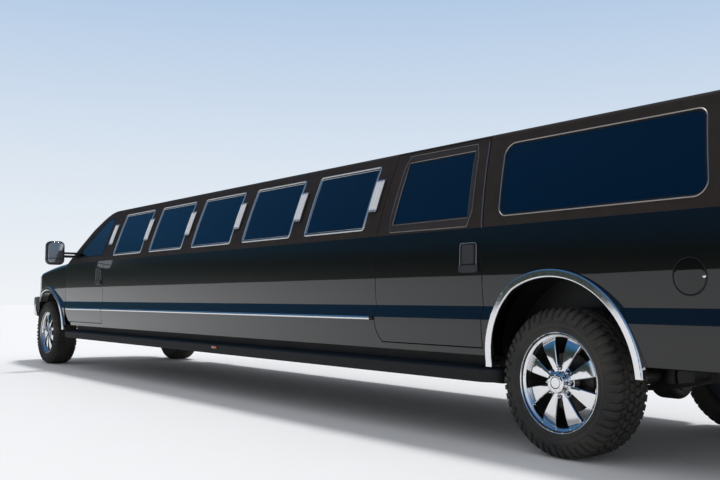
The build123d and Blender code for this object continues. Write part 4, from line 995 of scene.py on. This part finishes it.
def headlamp_insides():
    """Reflectors, bulbs, turn lamps and housings inside the headlamps."""
    low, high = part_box("headlamps")
    middle_z = (low.z + high.z) / 2
    bowl_ys, bowl_depth, housing_depth, margin = (0.625, 0.765), 0.066, 0.078, 0.012
    bowl = (
        (0.008, 0.0), (0.030, 0.006), (0.050, 0.022), (0.064, 0.046), (0.069, 0.046), (0.054, 0.018),
        (0.032, 0.0), (0.008, -0.006),
    )
    bulb = ((0.0, 0.030), (0.005, 0.028), (0.0065, 0.022), (0.0065, 0.0), (0.0, 0.0))
    housing = ((-0.080, 0.0), (-0.080, 0.004), (0.080, 0.004), (0.080, 0.0))
    for word, side in SIDES:
        bowls, bulbs = [], []
        for y in bowl_ys:
            place = ray_point("headlamps", (FAR_X, side * y, middle_z), -FORWARD)[0] - FORWARD * bowl_depth
            bowls.append(lathe(bowl, place, 40, FORWARD))
            bulbs.append(lathe(bulb, place, 16, FORWARD))
        spots = nose_spots("headlamps", side, 0.548, 0.835, middle_z, 7, housing_depth)
        tip = ray_point("headlamps", (FAR_X, side * 0.848, middle_z), -FORWARD)[0]
        low_y, high_y = sorted((side * 0.838, side * 0.866))
        turn = rounded_box(
            (tip.x - 0.062, low_y, low.z + margin), (tip.x - 0.020, high_y, high.z - margin), 0.006,
        )
        add_piece(f"headlamp_reflectors_{word}", join_parts(bowls), "chrome", "chassis")
        add_piece(f"headlamp_bulbs_{word}", join_parts(bulbs), "opal", "chassis")
        add_piece(f"headlamp_housing_{word}", strip_over(spots, housing), "satin", "chassis")
        add_piece(f"headlamp_turn_lamp_{word}", turn, "amber", "chassis")


def grille_mesh():
    """Black upright fins and a screen behind the grille's bars."""
    fins, fin_half, fin_depth, thickness = 39, 0.0025, 0.009, 0.004
    half, foot, head = 0.478, 0.907, 1.076
    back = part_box("grille")[0].x - 0.010
    parts = [rounded_box((back - thickness, -half, foot), (back, half, head), 0.0015, 1)]
    for y in spaced(-half + 0.008, half - 0.008, fins):
        low = (back, y - fin_half, foot + MM)
        parts.append(rounded_box(low, (back + fin_depth, y + fin_half, head - MM), 0.001, 1))
    add_piece("grille_screen", join_parts(parts), "gasket", "chassis")


def bumper_dressing():
    """Black rub strips on the front bumper."""
    profile = mirrored(((-0.024, -0.003), (-0.022, 0.008), (-0.016, 0.012)))
    y_in, y_out, height = 0.20, 0.80, 0.745
    for word, side in SIDES:
        spots = nose_spots("front_bumper", side, y_in, y_out, height, 9)
        add_piece(f"bumper_strip_{word}", strip_over(spots, profile), "gasket", "chassis")


def fender_aprons():
    """Black walls that close the top of the front wheel wells towards the engine."""
    reach, foot, apart = 0.636, 0.32, 0.574
    start = asin(foot / reach)
    outline = [Vector((reach * cos(a), 0, reach * sin(a))) for a in spaced(start, pi - start, 25)]
    axle = wheel_centre("front_left")
    for word, side in SIDES:
        place = Matrix.Translation((axle.x, side * apart, axle.z))
        part = moved(slab(outline, -0.002, 0.002, 0.0005), place)
        add_piece(f"fender_apron_{word}", part, "gasket", "chassis")


def above_glass_foot(y, back):
    """Point and normal of the windscreen a stated distance behind its lower edge."""
    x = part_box("fixed_glass")[1].x
    while tree_of("fixed_glass").ray_cast(Vector((x, y, FAR_Z)), -UP)[0] is None:
        x -= 0.003
    return ray_point("fixed_glass", (x - back, y, FAR_Z), -UP)


def wipers():
    """Two windscreen wipers at rest along the foot of the glass."""
    blade = mirrored(((-0.003, 0.0005), (-0.006, 0.012), (-0.003, 0.018)))
    arm = mirrored(((-0.008, 0.0), (-0.006, 0.006)))
    hub = ((0.0, 0.014), (0.010, 0.012), (0.013, 0.004), (0.014, -0.006), (0.0, -0.006))
    blade_back, pivot_back, blade_top, hub_lift, elbow_lift = 0.055, 0.012, 0.019, 0.010, 0.014
    for index, (y_in, y_out) in enumerate(((0.06, 0.60), (-0.62, -0.08))):
        spots = [above_glass_foot(y, blade_back) for y in spaced(y_in, y_out, 9)]
        middle, up = spots[len(spots) // 2]
        middle = middle + up * blade_top
        foot, foot_up = above_glass_foot(y_out - 0.02, pivot_back)
        end = foot + foot_up * hub_lift
        elbow = middle.lerp(end, 0.5) + up * elbow_lift
        parts = [strip_over(spots, blade), strip([middle, elbow, end], [up] * 3, arm)]
        parts.append(lathe(hub, end, 20, foot_up))
        add_piece(f"wiper_{index}", join_parts(parts), "gasket", "chassis")


def tail_dressing():
    """Clear reversing lenses, the high brake lamp, and the handles of the liftgate and the lower doors."""
    rim, corner = 0.012, 0.006
    # columns: label, lower and upper edge as shares of the lamp's height, finish
    lenses = (("reverse", 0.10, 0.30, "clear"), ("turn", 0.66, 0.90, "amber"))
    for side, faces in pane_solids("taillamps"):
        word = "left" if side > 0 else "right"
        ys = [abs(p.y) for _, ring in faces for p in ring]
        zs = [p.z for _, ring in faces for p in ring]
        half = (max(ys) - min(ys)) / 2 - rim
        tall = max(zs) - min(zs)
        for label, share_low, share_high, finish in lenses:
            foot, head = min(zs) + tall * share_low, min(zs) + tall * share_high
            spot = (-FAR_X, side * (min(ys) + max(ys)) / 2, (foot + head) / 2)
            basis = basis_at(ray_point("taillamps", spot, FORWARD)[0], LEFT, -FORWARD, UP)
            outline = rounded_outline(half, (head - foot) / 2, (corner,) * 4)
            lens = moved(slab(outline, -0.006, 0.0035, 0.0015), basis)
            add_piece(f"tail_{label}_{word}", lens, finish, "chassis")
    # columns: name, node, place across, height, half-width, half-height, corner radius, depth, finish
    fittings = (
        ("brake_lamp", "liftgate", 0.0, 1.800, 0.16, 0.010, 0.006, 0.006, "red"),
        ("gate_handle", "liftgate", 0.0, 1.243, 0.085, 0.017, 0.010, 0.018, "plastic"),
        ("lower_handle", "lower_door_right", -0.055, 1.080, 0.016, 0.070, 0.010, 0.020, "plastic"),
    )
    for name, node, y, z, half_x, half_z, radius, depth, finish in fittings:
        basis = basis_at(ray_point(node, (-FAR_X, y, z), FORWARD)[0], LEFT, -FORWARD, UP)
        outline = rounded_outline(half_x, half_z, (radius,) * 4)
        part = slab(outline, -0.006, depth, min(depth, half_x, half_z) * 0.4)
        add_piece(name, moved(part, basis), finish, node)


# Running boards


def shadow_gap_skirts():
    """Dark skirts inboard of the running boards, which close the gap below the body: painted shade that
    stands for the shadow in that gap.
    """
    profile = (
        (-0.012, 0.0), (-0.010, 0.055), (-0.004, 0.125), (0.004, 0.128), (0.003, 0.050), (0.001, 0.0),
    )
    across, foot, rear_gap, front_gap = 0.900, 0.400, 0.12, 0.10
    low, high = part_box("running_boards")
    for word, side in SIDES:
        xs = spaced(low.x + rear_gap, high.x - front_gap, 9)
        spots = [(Vector((x, side * across, foot)), UP) for x in xs]
        # Painted shade: a dark sheet in the shadow gap under the body.
        add_piece(f"sill_skirt_{word}", strip_over(spots, profile), "chassis", "chassis")


def board_ribs():
    """Rubber tread ribs along the top of the running boards."""
    profile = mirrored(((-0.004, -0.001), (-0.0025, 0.0028)))
    rows, above_board, rear_gap, front_gap = (0.955, 0.972, 0.989, 1.006), 0.50, 0.16, 0.14
    low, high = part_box("running_boards")
    for word, side in SIDES:
        parts = []
        for y in rows:
            spots = []
            for x in spaced(low.x + rear_gap, high.x - front_gap, 13):
                spots.append((ray_point("running_boards", (x, side * y, above_board), -UP)[0], UP))
            parts.append(strip_over(spots, profile))
        add_piece(f"board_ribs_{word}", join_parts(parts), "gasket", "chassis")


def marker_lamps():
    """Marker lamps on the running boards."""
    x, height = bpy.context.scene.limousine_trims.marker_x, 0.42
    for word, side in SIDES:
        place = skin_point("running_boards", x, height, side)[0]
        lamp = side_block(place, side, 0.045, 0.012, 0.004, 0.011, 0.004)
        add_piece(f"marker_lamp_{word}", lamp, "amber", "chassis")


# Seats


def cushion(name, low, high, lean=0.0):
    """Crowned leather cushion between two corners, its sides drawn in between its corners."""
    crown, drawn_in, thinned_edge, squareness = 0.03, 0.02, 0.16, 6
    channel_depth, channel_width = 0.10, 0.035
    lo, hi = Vector(low), Vector(high)
    middle, half = (lo + hi) / 2, (hi - lo) / 2
    thin = min(range(3), key=lambda i: half[i])
    first, second = [i for i in range(3) if i != thin]
    work = bmesh.new()
    bmesh.ops.create_cube(work, size=2)
    bmesh.ops.subdivide_edges(work, edges=work.edges[:], cuts=13, use_grid_fill=True)
    for v in work.verts:
        size = sum(abs(c) ** squareness for c in v.co) ** (1 / squareness)
        p = v.co / size
        q = list(p)
        q[thin] *= 1 - thinned_edge * (1 - (1 - p[first] ** 2) * (1 - p[second] ** 2)) + crown
        q[first] *= 1 - drawn_in * (1 - p[second] ** 2)
        q[second] *= 1 - drawn_in * (1 - p[first] ** 2)
        # Two sewn channels run across the wide face.
        for channel in (-0.33, 0.33):
            q[thin] *= 1 - channel_depth * exp(-(((p[second] - channel) / channel_width) ** 2))
        v.co = middle + Vector(c * h for c, h in zip(q, half))
        v.co.x -= lean * (v.co.z - lo.z)
    part = [v.co.copy() for v in work.verts], [[v.index for v in f.verts] for f in work.faces]
    work.free()
    piece = add_piece(name, part, "leather", "chassis", sharp=60)
    return piece


def bench(lo, hi):
    """Side bench of seven cushions with their backs, on a plinth."""
    count, gap = 7, 0.004
    step = (hi.x - lo.x) / count
    pieces = []
    for k in range(count):
        a, b = lo.x + k * step + gap, lo.x + (k + 1) * step - gap
        pieces.append(cushion(f"bench_cushion_{k}", (a, lo.y + 0.135, 0.90), (b, hi.y, 1.058)))
        pieces.append(cushion(f"bench_back_{k}", (a, lo.y + gap, 0.99), (b, lo.y + 0.13, hi.z)))
    base = rounded_box((lo.x, lo.y + 0.02, lo.z), (hi.x, hi.y - 0.03, 0.905), 0.02)
    add_piece("bench_plinth", base, "trim", "chassis")
    return pieces


def row_seat(index, lo, hi):
    """Forward-facing seat of one place or more, each with its cushion, leaning back and head rest."""
    place_width, gap, lean = 0.46, 0.004, 0.12
    places = max(1, round((hi.y - lo.y) / place_width))
    step = (hi.y - lo.y) / places
    hinge = lo.x + 0.110
    pieces = []
    for k in range(places):
        a, b = lo.y + k * step + gap, lo.y + (k + 1) * step - gap
        mid = (a + b) / 2
        # columns: name, lowest corner, highest corner, lean
        rows = (
            ("seat_cushion", (hinge + 0.045, a, 0.862), (hinge + 0.512, b, 1.006), 0.0),
            ("seat_back", (hinge - 0.058, a + 0.01, 0.912), (hinge + 0.052, b - 0.01, 1.352), lean),
            ("head_rest", (hinge - 0.102, mid - 0.13, 1.362), (hinge - 0.012, mid + 0.13, 1.472), lean),
        )
        for name, low, high, leaning in rows:
            pieces.append(cushion(f"{name}_{index}_{k}", low, high, leaning))
    base = rounded_box((hinge - 0.045, lo.y + 0.03, lo.z), (hinge + 0.485, hi.y - 0.03, 0.872), 0.02)
    add_piece(f"seat_plinth_{index}", base, "trim", "chassis")
    return pieces


def seats():
    """Leather seats: two front buckets, a side bench and a rear bench."""
    shortest_bench = 2
    pieces = []
    for index, faces in enumerate(islands("seats")):
        corners = [p for _, ring in faces for p in ring]
        lo = Vector([min(p[i] for p in corners) for i in range(3)])
        hi = Vector([max(p[i] for p in corners) for i in range(3)])
        pieces += bench(lo, hi) if hi.x - lo.x > shortest_bench else row_seat(index, lo, hi)
    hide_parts("seats")


# Stage


def seen_directly(tree):
    """One for rays from the camera, from a mirror or through glass, and nought for soft light."""
    path = add_node(tree, "ShaderNodeLightPath").outputs
    seen = path["Is Camera Ray"]
    for ray in ("Is Glossy Ray", "Is Transmission Ray"):
        either = add_node(tree, "ShaderNodeMath", links={0: seen, 1: path[ray]}, operation="MAXIMUM")
        seen = either.outputs[0]
    return seen


def lay_floor():
    """Pale floor, a little lighter where it is seen than in the soft light that it gives."""
    reach = bpy.context.scene.limousine_stage.floor_reach
    mesh = bpy.data.meshes.new("floor")
    corners = [(-reach, -reach, 0), (reach, -reach, 0), (reach, reach, 0), (-reach, reach, 0)]
    mesh.from_pydata(corners, [], [[0, 1, 2, 3]])
    floor = bpy.data.objects.new("floor", mesh)
    bpy.context.scene.collection.objects.link(floor)
    material, tree, place = new_material("pale matt screed")
    soft = (linear("#e2dfdb"), linear("#e7e5e1"))
    seen = (linear("#fdfcfa"), linear("#ffffff"))
    colours = clouded(tree, place, 900, {"Soft Color": soft, "Seen Color": seen})
    sources = {0: seen_directly(tree), 6: colours["Soft Color"], 7: colours["Seen Color"]}
    mix = add_node(tree, "ShaderNodeMix", links=sources, data_type="RGBA")
    links = {"Base Color": mix.outputs[2], "Normal": grain(tree, place, 30, 0.3)}
    finish_material(material, {"Roughness": 0.85, "Specular IOR Level": 0.3}, links)
    mesh.materials.append(material)


def hang_sky():
    """Sky that is pale all round, with a darker foot on the side that the car's left side mirrors."""
    settings = bpy.context.scene.limousine_stage
    world = bpy.data.worlds.new("soft sky")
    bpy.context.scene.world = world
    world.use_nodes = True
    tree = world.node_tree
    tree.nodes.clear()
    direction = add_node(tree, "ShaderNodeTexCoord").outputs["Generated"]
    height = add_node(tree, "ShaderNodeSeparateXYZ", links={"Vector": direction}).outputs["Z"]
    # columns: sine of the height above the horizon, colour
    bright = (
        (0.0, "#f0f3f6"), (0.14, "#dce6f1"), (0.32, "#b4cbe6"), (0.48, "#6d95c0"), (0.70, "#4a6f9c"),
        (1.0, "#3d5f8a"),
    )
    dusk = (
        (0.0, "#3f4642"), (0.09, "#323c39"), (0.15, "#33596f"), (0.30, "#3d6f9e"), (0.62, "#416b99"),
        (1.0, "#3d5f8a"),
    )
    skies = []
    for stops in (bright, dusk):
        ramp = add_node(tree, "ShaderNodeValToRGB", links={"Fac": height})
        elements = ramp.color_ramp.elements
        elements[0].color = linear(stops[0][1])
        elements[1].color = linear(stops[-1][1])
        for place, colour in stops[1:-1]:
            elements.new(place).color = linear(colour)
        skies.append(ramp.outputs["Color"])
    bearing = (cos(settings.dusk_bearing), sin(settings.dusk_bearing), 0)
    facing = add_node(
        tree, "ShaderNodeVectorMath", {1: bearing}, {0: direction}, operation="DOT_PRODUCT",
    ).outputs["Value"]
    # The dusk starts where the cosine of the angle to its bearing passes 0.58, and is full at 0.84.
    blend = add_node(
        tree, "ShaderNodeMapRange", {"From Min": 0.58, "From Max": 0.84}, {"Value": facing},
        interpolation_type="SMOOTHSTEP",
    )
    sources = {0: blend.outputs["Result"], 6: skies[0], 7: skies[1]}
    sky = add_node(tree, "ShaderNodeMix", links=sources, data_type="RGBA")
    seen = add_node(tree, "ShaderNodeBackground", {"Strength": 1.0}, {"Color": sky.outputs[2]})
    values = {"Color": linear("#e6e9ef"), "Strength": settings.sky_strength}
    soft = add_node(tree, "ShaderNodeBackground", values)
    sources = {0: seen_directly(tree), 1: soft.outputs[0], 2: seen.outputs[0]}
    mix = add_node(tree, "ShaderNodeMixShader", links=sources)
    add_node(tree, "ShaderNodeOutputWorld", links={"Surface": mix.outputs[0]})


def hang_sun():
    """High, wide sun that gives the car its soft shadow."""
    data = bpy.data.lights.new("high sun", "SUN")
    data.energy = bpy.context.scene.limousine_stage.sun_strength
    data.angle = radians(9)
    lamp = bpy.data.objects.new("high sun", data)
    lamp.rotation_mode = "QUATERNION"
    lamp.rotation_quaternion = Vector((-0.10, 0.30, -0.95)).to_track_quat("-Z", "Y")
    bpy.context.scene.collection.objects.link(lamp)


def place_camera():
    """Camera at the photograph's place, turned and tilted as fitted to it."""
    settings = bpy.context.scene.limousine_stage
    yaw, pitch, roll = settings.yaw, settings.pitch, settings.roll
    ahead = Vector((cos(pitch) * cos(yaw), -cos(pitch) * sin(yaw), sin(pitch)))
    level = ahead.cross(UP).normalized()
    right = level * cos(roll) + level.cross(ahead) * sin(roll)
    data = bpy.data.cameras.new("camera")
    data.lens = settings.lens
    data.sensor_width = 36
    data.clip_start, data.clip_end = 0.1, 500
    camera = bpy.data.objects.new("camera", data)
    camera.matrix_world = basis_at(Vector(settings.camera_place), right, right.cross(ahead), -ahead)
    bpy.context.scene.collection.objects.link(camera)
    bpy.context.scene.camera = camera


# Settings


def colour(name, description, hex_colour):
    """Colour setting whose default is an sRGB hex colour."""
    default = linear(hex_colour)
    return FloatVectorProperty(
        name=name, description=description, default=default, size=4, min=0, max=1, subtype="COLOR",
    )


def length(name, description, default):
    """Length setting in metres."""
    return FloatProperty(name=name, description=description, default=default, unit="LENGTH")


def angle(name, description, degrees):
    """Angle setting whose default is given in degrees."""
    return FloatProperty(name=name, description=description, default=radians(degrees), subtype="ANGLE")


def number(name, description, default):
    """Setting without a unit, whole where its default is whole."""
    kind = IntProperty if isinstance(default, int) else FloatProperty
    return kind(name=name, description=description, default=default)


class LimousineColours(bpy.types.PropertyGroup):
    enamel: colour("Enamel", "Body below the belt", "#020303")
    cover_dark: colour("Covering, dark", "Darker patches of the vinyl covering", "#2d2725")
    cover_light: colour("Covering, light", "Lighter patches of the vinyl covering", "#3c3531")
    chrome: colour("Chromium", "Bright wheels, arches and bumper", "#e3e3e4")
    satin: colour("Satin steel", "Beads round the windows", "#cfcfce")
    # Also the colour of painted highlights along the rear doors' covered window frames.
    anodised: colour("Anodised aluminium", "Dull lines on the covering", "#a49d99")
    privacy_glass: colour("Privacy glass", "Glass behind the front doors", "#06283f")
    screen_glass: colour("Screen glass", "Glass of the front doors", "#5f7680")
    glass_film: colour("Glass film", "Tint of what the glass mirrors", "#8fd0ff")
    plastic_dark: colour("Plastic, dark", "Darker patches of the black plastic", "#0c0c0d")
    plastic_light: colour("Plastic, light", "Lighter patches of the black plastic", "#161617")
    trim_dark: colour("Trim, dark", "Darker patches of the grey trim", "#2a2a2b")
    trim_light: colour("Trim, light", "Lighter patches of the grey trim", "#363638")
    gasket_dark: colour("Gasket, dark", "Darker patches of the seals", "#060606")
    gasket_light: colour("Gasket, light", "Lighter patches of the seals", "#0b0b0b")
    tyre_dark: colour("Tyre, dark", "Darker patches of the tyres", "#292928")
    tyre_light: colour("Tyre, light", "Lighter patches of the tyres", "#3a3a39")
    road_dust: colour("Road dust", "Dust on the tyres", "#56524b")
    chassis_dark: colour("Chassis, dark", "Darker patches of the chassis paint", "#0b0b0b")
    chassis_light: colour("Chassis, light", "Lighter patches of the chassis paint", "#1c1a18")
    iron_dark: colour("Cast iron, dark", "Darker patches of the castings", "#1e1d1c")
    iron_light: colour("Cast iron, light", "Lighter patches of the castings", "#3a3632")
    steel_dark: colour("Steel, dark", "Darker patches of the turned steel", "#35312e")
    steel_light: colour("Steel, light", "Lighter patches of the turned steel", "#5c5854")
    clear_lens: colour("Clear lens", "Headlamps and reversing lamps", "#f4f7f8")
    red_lens: colour("Red lens", "Tail and brake lamps", "#8e0a0c")
    amber_lens: colour("Amber lens", "Turn and marker lamps", "#d9680c")
    opal: colour("Opal", "Tubes of the opera lamps", "#fdfdff")
    leather_dark: colour("Leather, dark", "Darker patches of the seats", "#0d0c0c")
    leather_light: colour("Leather, light", "Lighter patches of the seats", "#1b1918")


class LimousineTrims(bpy.types.PropertyGroup):
    cover_foot: length("Covering foot", "Height where the vinyl covering starts", 1.262)
    bead_width: length("Window bead width", "Width of the bright bead beyond each pane", 0.012)
    bead_height: length("Window bead height", "How far the bead stands off the panel", 0.004)
    lamp_ribs: number("Opera lamp ribs", "Upright flutes on each opera lamp", 3)
    stripe_z: length("Stripe height", "Height of the side moulding's middle", 0.712)
    stripe_height: length("Stripe width", "Width of the side moulding, up and down", 0.024)
    stripe_proud: length("Stripe thickness", "How far the moulding stands off the panel", 0.006)
    handle_width: length("Handle width", "Width of a handle's bezel", 0.140)
    handle_foot: length("Handle foot", "Height of a handle's lower edge", 1.002)
    handle_head: length("Handle head", "Height of a handle's upper edge", 1.173)
    front_handle: length("Front handle place", "From the front door's rear edge to its handle", 0.121)
    rear_handle: length("Rear handle place", "From the rear door's rear edge to its handle", 0.106)
    flap_x: length("Fuel flap place", "Fuel flap's middle along the car", -4.913)
    flap_z: length("Fuel flap height", "Fuel flap's middle above the floor", 0.948)
    flap_radius: length("Fuel flap radius", "Radius of the fuel flap", 0.087)
    marker_x: length("Marker place", "Marker lamp's middle along the car", -0.29)


class LimousineTyres(bpy.types.PropertyGroup):
    lugs: number("Lugs", "Shoulder lugs round each tyre", 50)
    lug_height: length("Lug height", "Depth of the tread", 0.0110)
    lug_nuts: number("Lug nuts", "Nuts that hold each wheel", 8)
    nut_circle: length("Nut circle", "Radius of the circle of nuts", 0.0775)
    hub_face: length("Hub face", "From the wheel's middle to its hub face", 0.1005)


class LimousineStage(bpy.types.PropertyGroup):
    floor_reach: length("Floor reach", "Half the floor's side", 120)
    sky_strength: number("Sky light", "Strength of the soft sky on matt surfaces", 0.60)
    sun_strength: number("Sun", "Strength of the high soft sun", 1.65)
    dusk_bearing: angle("Dusk bearing", "Direction of the darker sky, from the car's front", 40)
    lens: number("Lens", "Focal length on a 36 mm wide frame, in millimetres", 44.945)
    yaw: angle("Yaw", "Camera's turn away from the car's length", 36.506)
    pitch: angle("Pitch", "Camera's tilt upwards", 3.891)
    roll: angle("Roll", "Camera's roll", 0.337)
    camera_place: FloatVectorProperty(
        name="Camera place", description="Where the camera stands", default=(-7.343, 4.689, 0.825),
        subtype="XYZ", unit="LENGTH",
    )


# Operators


class LIMOUSINE_OT_stage(bpy.types.Operator):
    """Build the floor, sky, sun and camera"""

    bl_idname = "limousine.stage"
    bl_label = "Stage"

    def execute(self, context):
        context.scene.view_settings.view_transform = "Standard"
        lay_floor()
        hang_sky()
        hang_sun()
        place_camera()
        return {"FINISHED"}


class LIMOUSINE_OT_finishes(bpy.types.Operator):
    """Finish every panel and part of the car"""

    bl_idname = "limousine.finishes"
    bl_label = "Finishes"

    def execute(self, context):
        make_materials()
        paint_nodes()
        return {"FINISHED"}


class LIMOUSINE_OT_window_trims(bpy.types.Operator):
    """Add beads and seals round the windows"""

    bl_idname = "limousine.window_trims"
    bl_label = "Window trims"

    def execute(self, context):
        window_trims()
        door_edges()
        return {"FINISHED"}


class LIMOUSINE_OT_opera_lights(bpy.types.Operator):
    """Add the fluted lamps between the windows"""

    bl_idname = "limousine.opera_lights"
    bl_label = "Opera lights"

    def execute(self, context):
        opera_lights()
        return {"FINISHED"}


class LIMOUSINE_OT_side_stripe(bpy.types.Operator):
    """Add the bright moulding along the sides"""

    bl_idname = "limousine.side_stripe"
    bl_label = "Side stripe"

    def execute(self, context):
        side_stripe()
        return {"FINISHED"}


class LIMOUSINE_OT_door_handles(bpy.types.Operator):
    """Add the pull handles"""

    bl_idname = "limousine.door_handles"
    bl_label = "Door handles"

    def execute(self, context):
        door_handles()
        return {"FINISHED"}


class LIMOUSINE_OT_fuel_flap(bpy.types.Operator):
    """Add the round fuel flap"""

    bl_idname = "limousine.fuel_flap"
    bl_label = "Fuel flap"

    def execute(self, context):
        fuel_flap()
        return {"FINISHED"}


class LIMOUSINE_OT_mirrors(bpy.types.Operator):
    """Add the mirror glasses"""

    bl_idname = "limousine.mirrors"
    bl_label = "Mirrors"

    def execute(self, context):
        mirrors()
        return {"FINISHED"}


class LIMOUSINE_OT_tyres(bpy.types.Operator):
    """Add the lugged tyres"""

    bl_idname = "limousine.tyres"
    bl_label = "Tyres"

    def execute(self, context):
        tyres()
        return {"FINISHED"}


class LIMOUSINE_OT_wheel_dressing(bpy.types.Operator):
    """Add the blades, hubs, nuts and caps of the wheels"""

    bl_idname = "limousine.wheel_dressing"
    bl_label = "Wheel dressing"

    def execute(self, context):
        wheel_dressing()
        return {"FINISHED"}


class LIMOUSINE_OT_boards(bpy.types.Operator):
    """Add the marker lamps, the dark skirts of painted shade and the tread ribs of the running boards"""

    bl_idname = "limousine.boards"
    bl_label = "Running boards"

    def execute(self, context):
        marker_lamps()
        shadow_gap_skirts()
        board_ribs()
        return {"FINISHED"}


class LIMOUSINE_OT_front_end(bpy.types.Operator):
    """Add the lamp insides, grille screen, wipers, bumper strips and aprons"""

    bl_idname = "limousine.front_end"
    bl_label = "Front end"

    def execute(self, context):
        headlamp_insides()
        grille_mesh()
        wipers()
        bumper_dressing()
        fender_aprons()
        return {"FINISHED"}


class LIMOUSINE_OT_rear_end(bpy.types.Operator):
    """Add the lenses, brake lamp and handles of the tail"""

    bl_idname = "limousine.rear_end"
    bl_label = "Rear end"

    def execute(self, context):
        tail_dressing()
        return {"FINISHED"}


class LIMOUSINE_OT_seats(bpy.types.Operator):
    """Add the leather seats"""

    bl_idname = "limousine.seats"
    bl_label = "Seats"

    def execute(self, context):
        seats()
        return {"FINISHED"}


OPERATORS = (
    LIMOUSINE_OT_stage, LIMOUSINE_OT_finishes, LIMOUSINE_OT_window_trims, LIMOUSINE_OT_opera_lights,
    LIMOUSINE_OT_side_stripe, LIMOUSINE_OT_door_handles, LIMOUSINE_OT_fuel_flap, LIMOUSINE_OT_mirrors,
    LIMOUSINE_OT_tyres, LIMOUSINE_OT_wheel_dressing, LIMOUSINE_OT_boards, LIMOUSINE_OT_front_end,
    LIMOUSINE_OT_rear_end, LIMOUSINE_OT_seats,
)


class LIMOUSINE_PT_panel(bpy.types.Panel):
    """Lists the limousine's operators"""

    bl_idname = "LIMOUSINE_PT_panel"
    bl_label = "Limousine"
    bl_space_type = "VIEW_3D"
    bl_region_type = "UI"
    bl_category = "Limousine"

    def draw(self, context):
        for operator in OPERATORS:
            self.layout.operator(operator.bl_idname)


GROUPS = (
    (LimousineColours, "limousine_colours"),
    (LimousineTrims, "limousine_trims"),
    (LimousineTyres, "limousine_tyres"),
    (LimousineStage, "limousine_stage"),
)


def register():
    for group, name in GROUPS:
        bpy.utils.register_class(group)
        setattr(bpy.types.Scene, name, PointerProperty(type=group))
    for operator in OPERATORS:
        bpy.utils.register_class(operator)
    bpy.utils.register_class(LIMOUSINE_PT_panel)


def unregister():
    bpy.utils.unregister_class(LIMOUSINE_PT_panel)
    for operator in reversed(OPERATORS):
        bpy.utils.unregister_class(operator)
    for group, name in reversed(GROUPS):
        delattr(bpy.types.Scene, name)
        bpy.utils.unregister_class(group)


def main():
    for name in ("Cube", "Light", "Camera"):
        if name in bpy.data.objects:
            bpy.data.objects.remove(bpy.data.objects[name])
    register()
    for operator in OPERATORS:
        getattr(bpy.ops.limousine, operator.bl_idname.split(".")[1])()


if __name__ == "__main__":
    main()
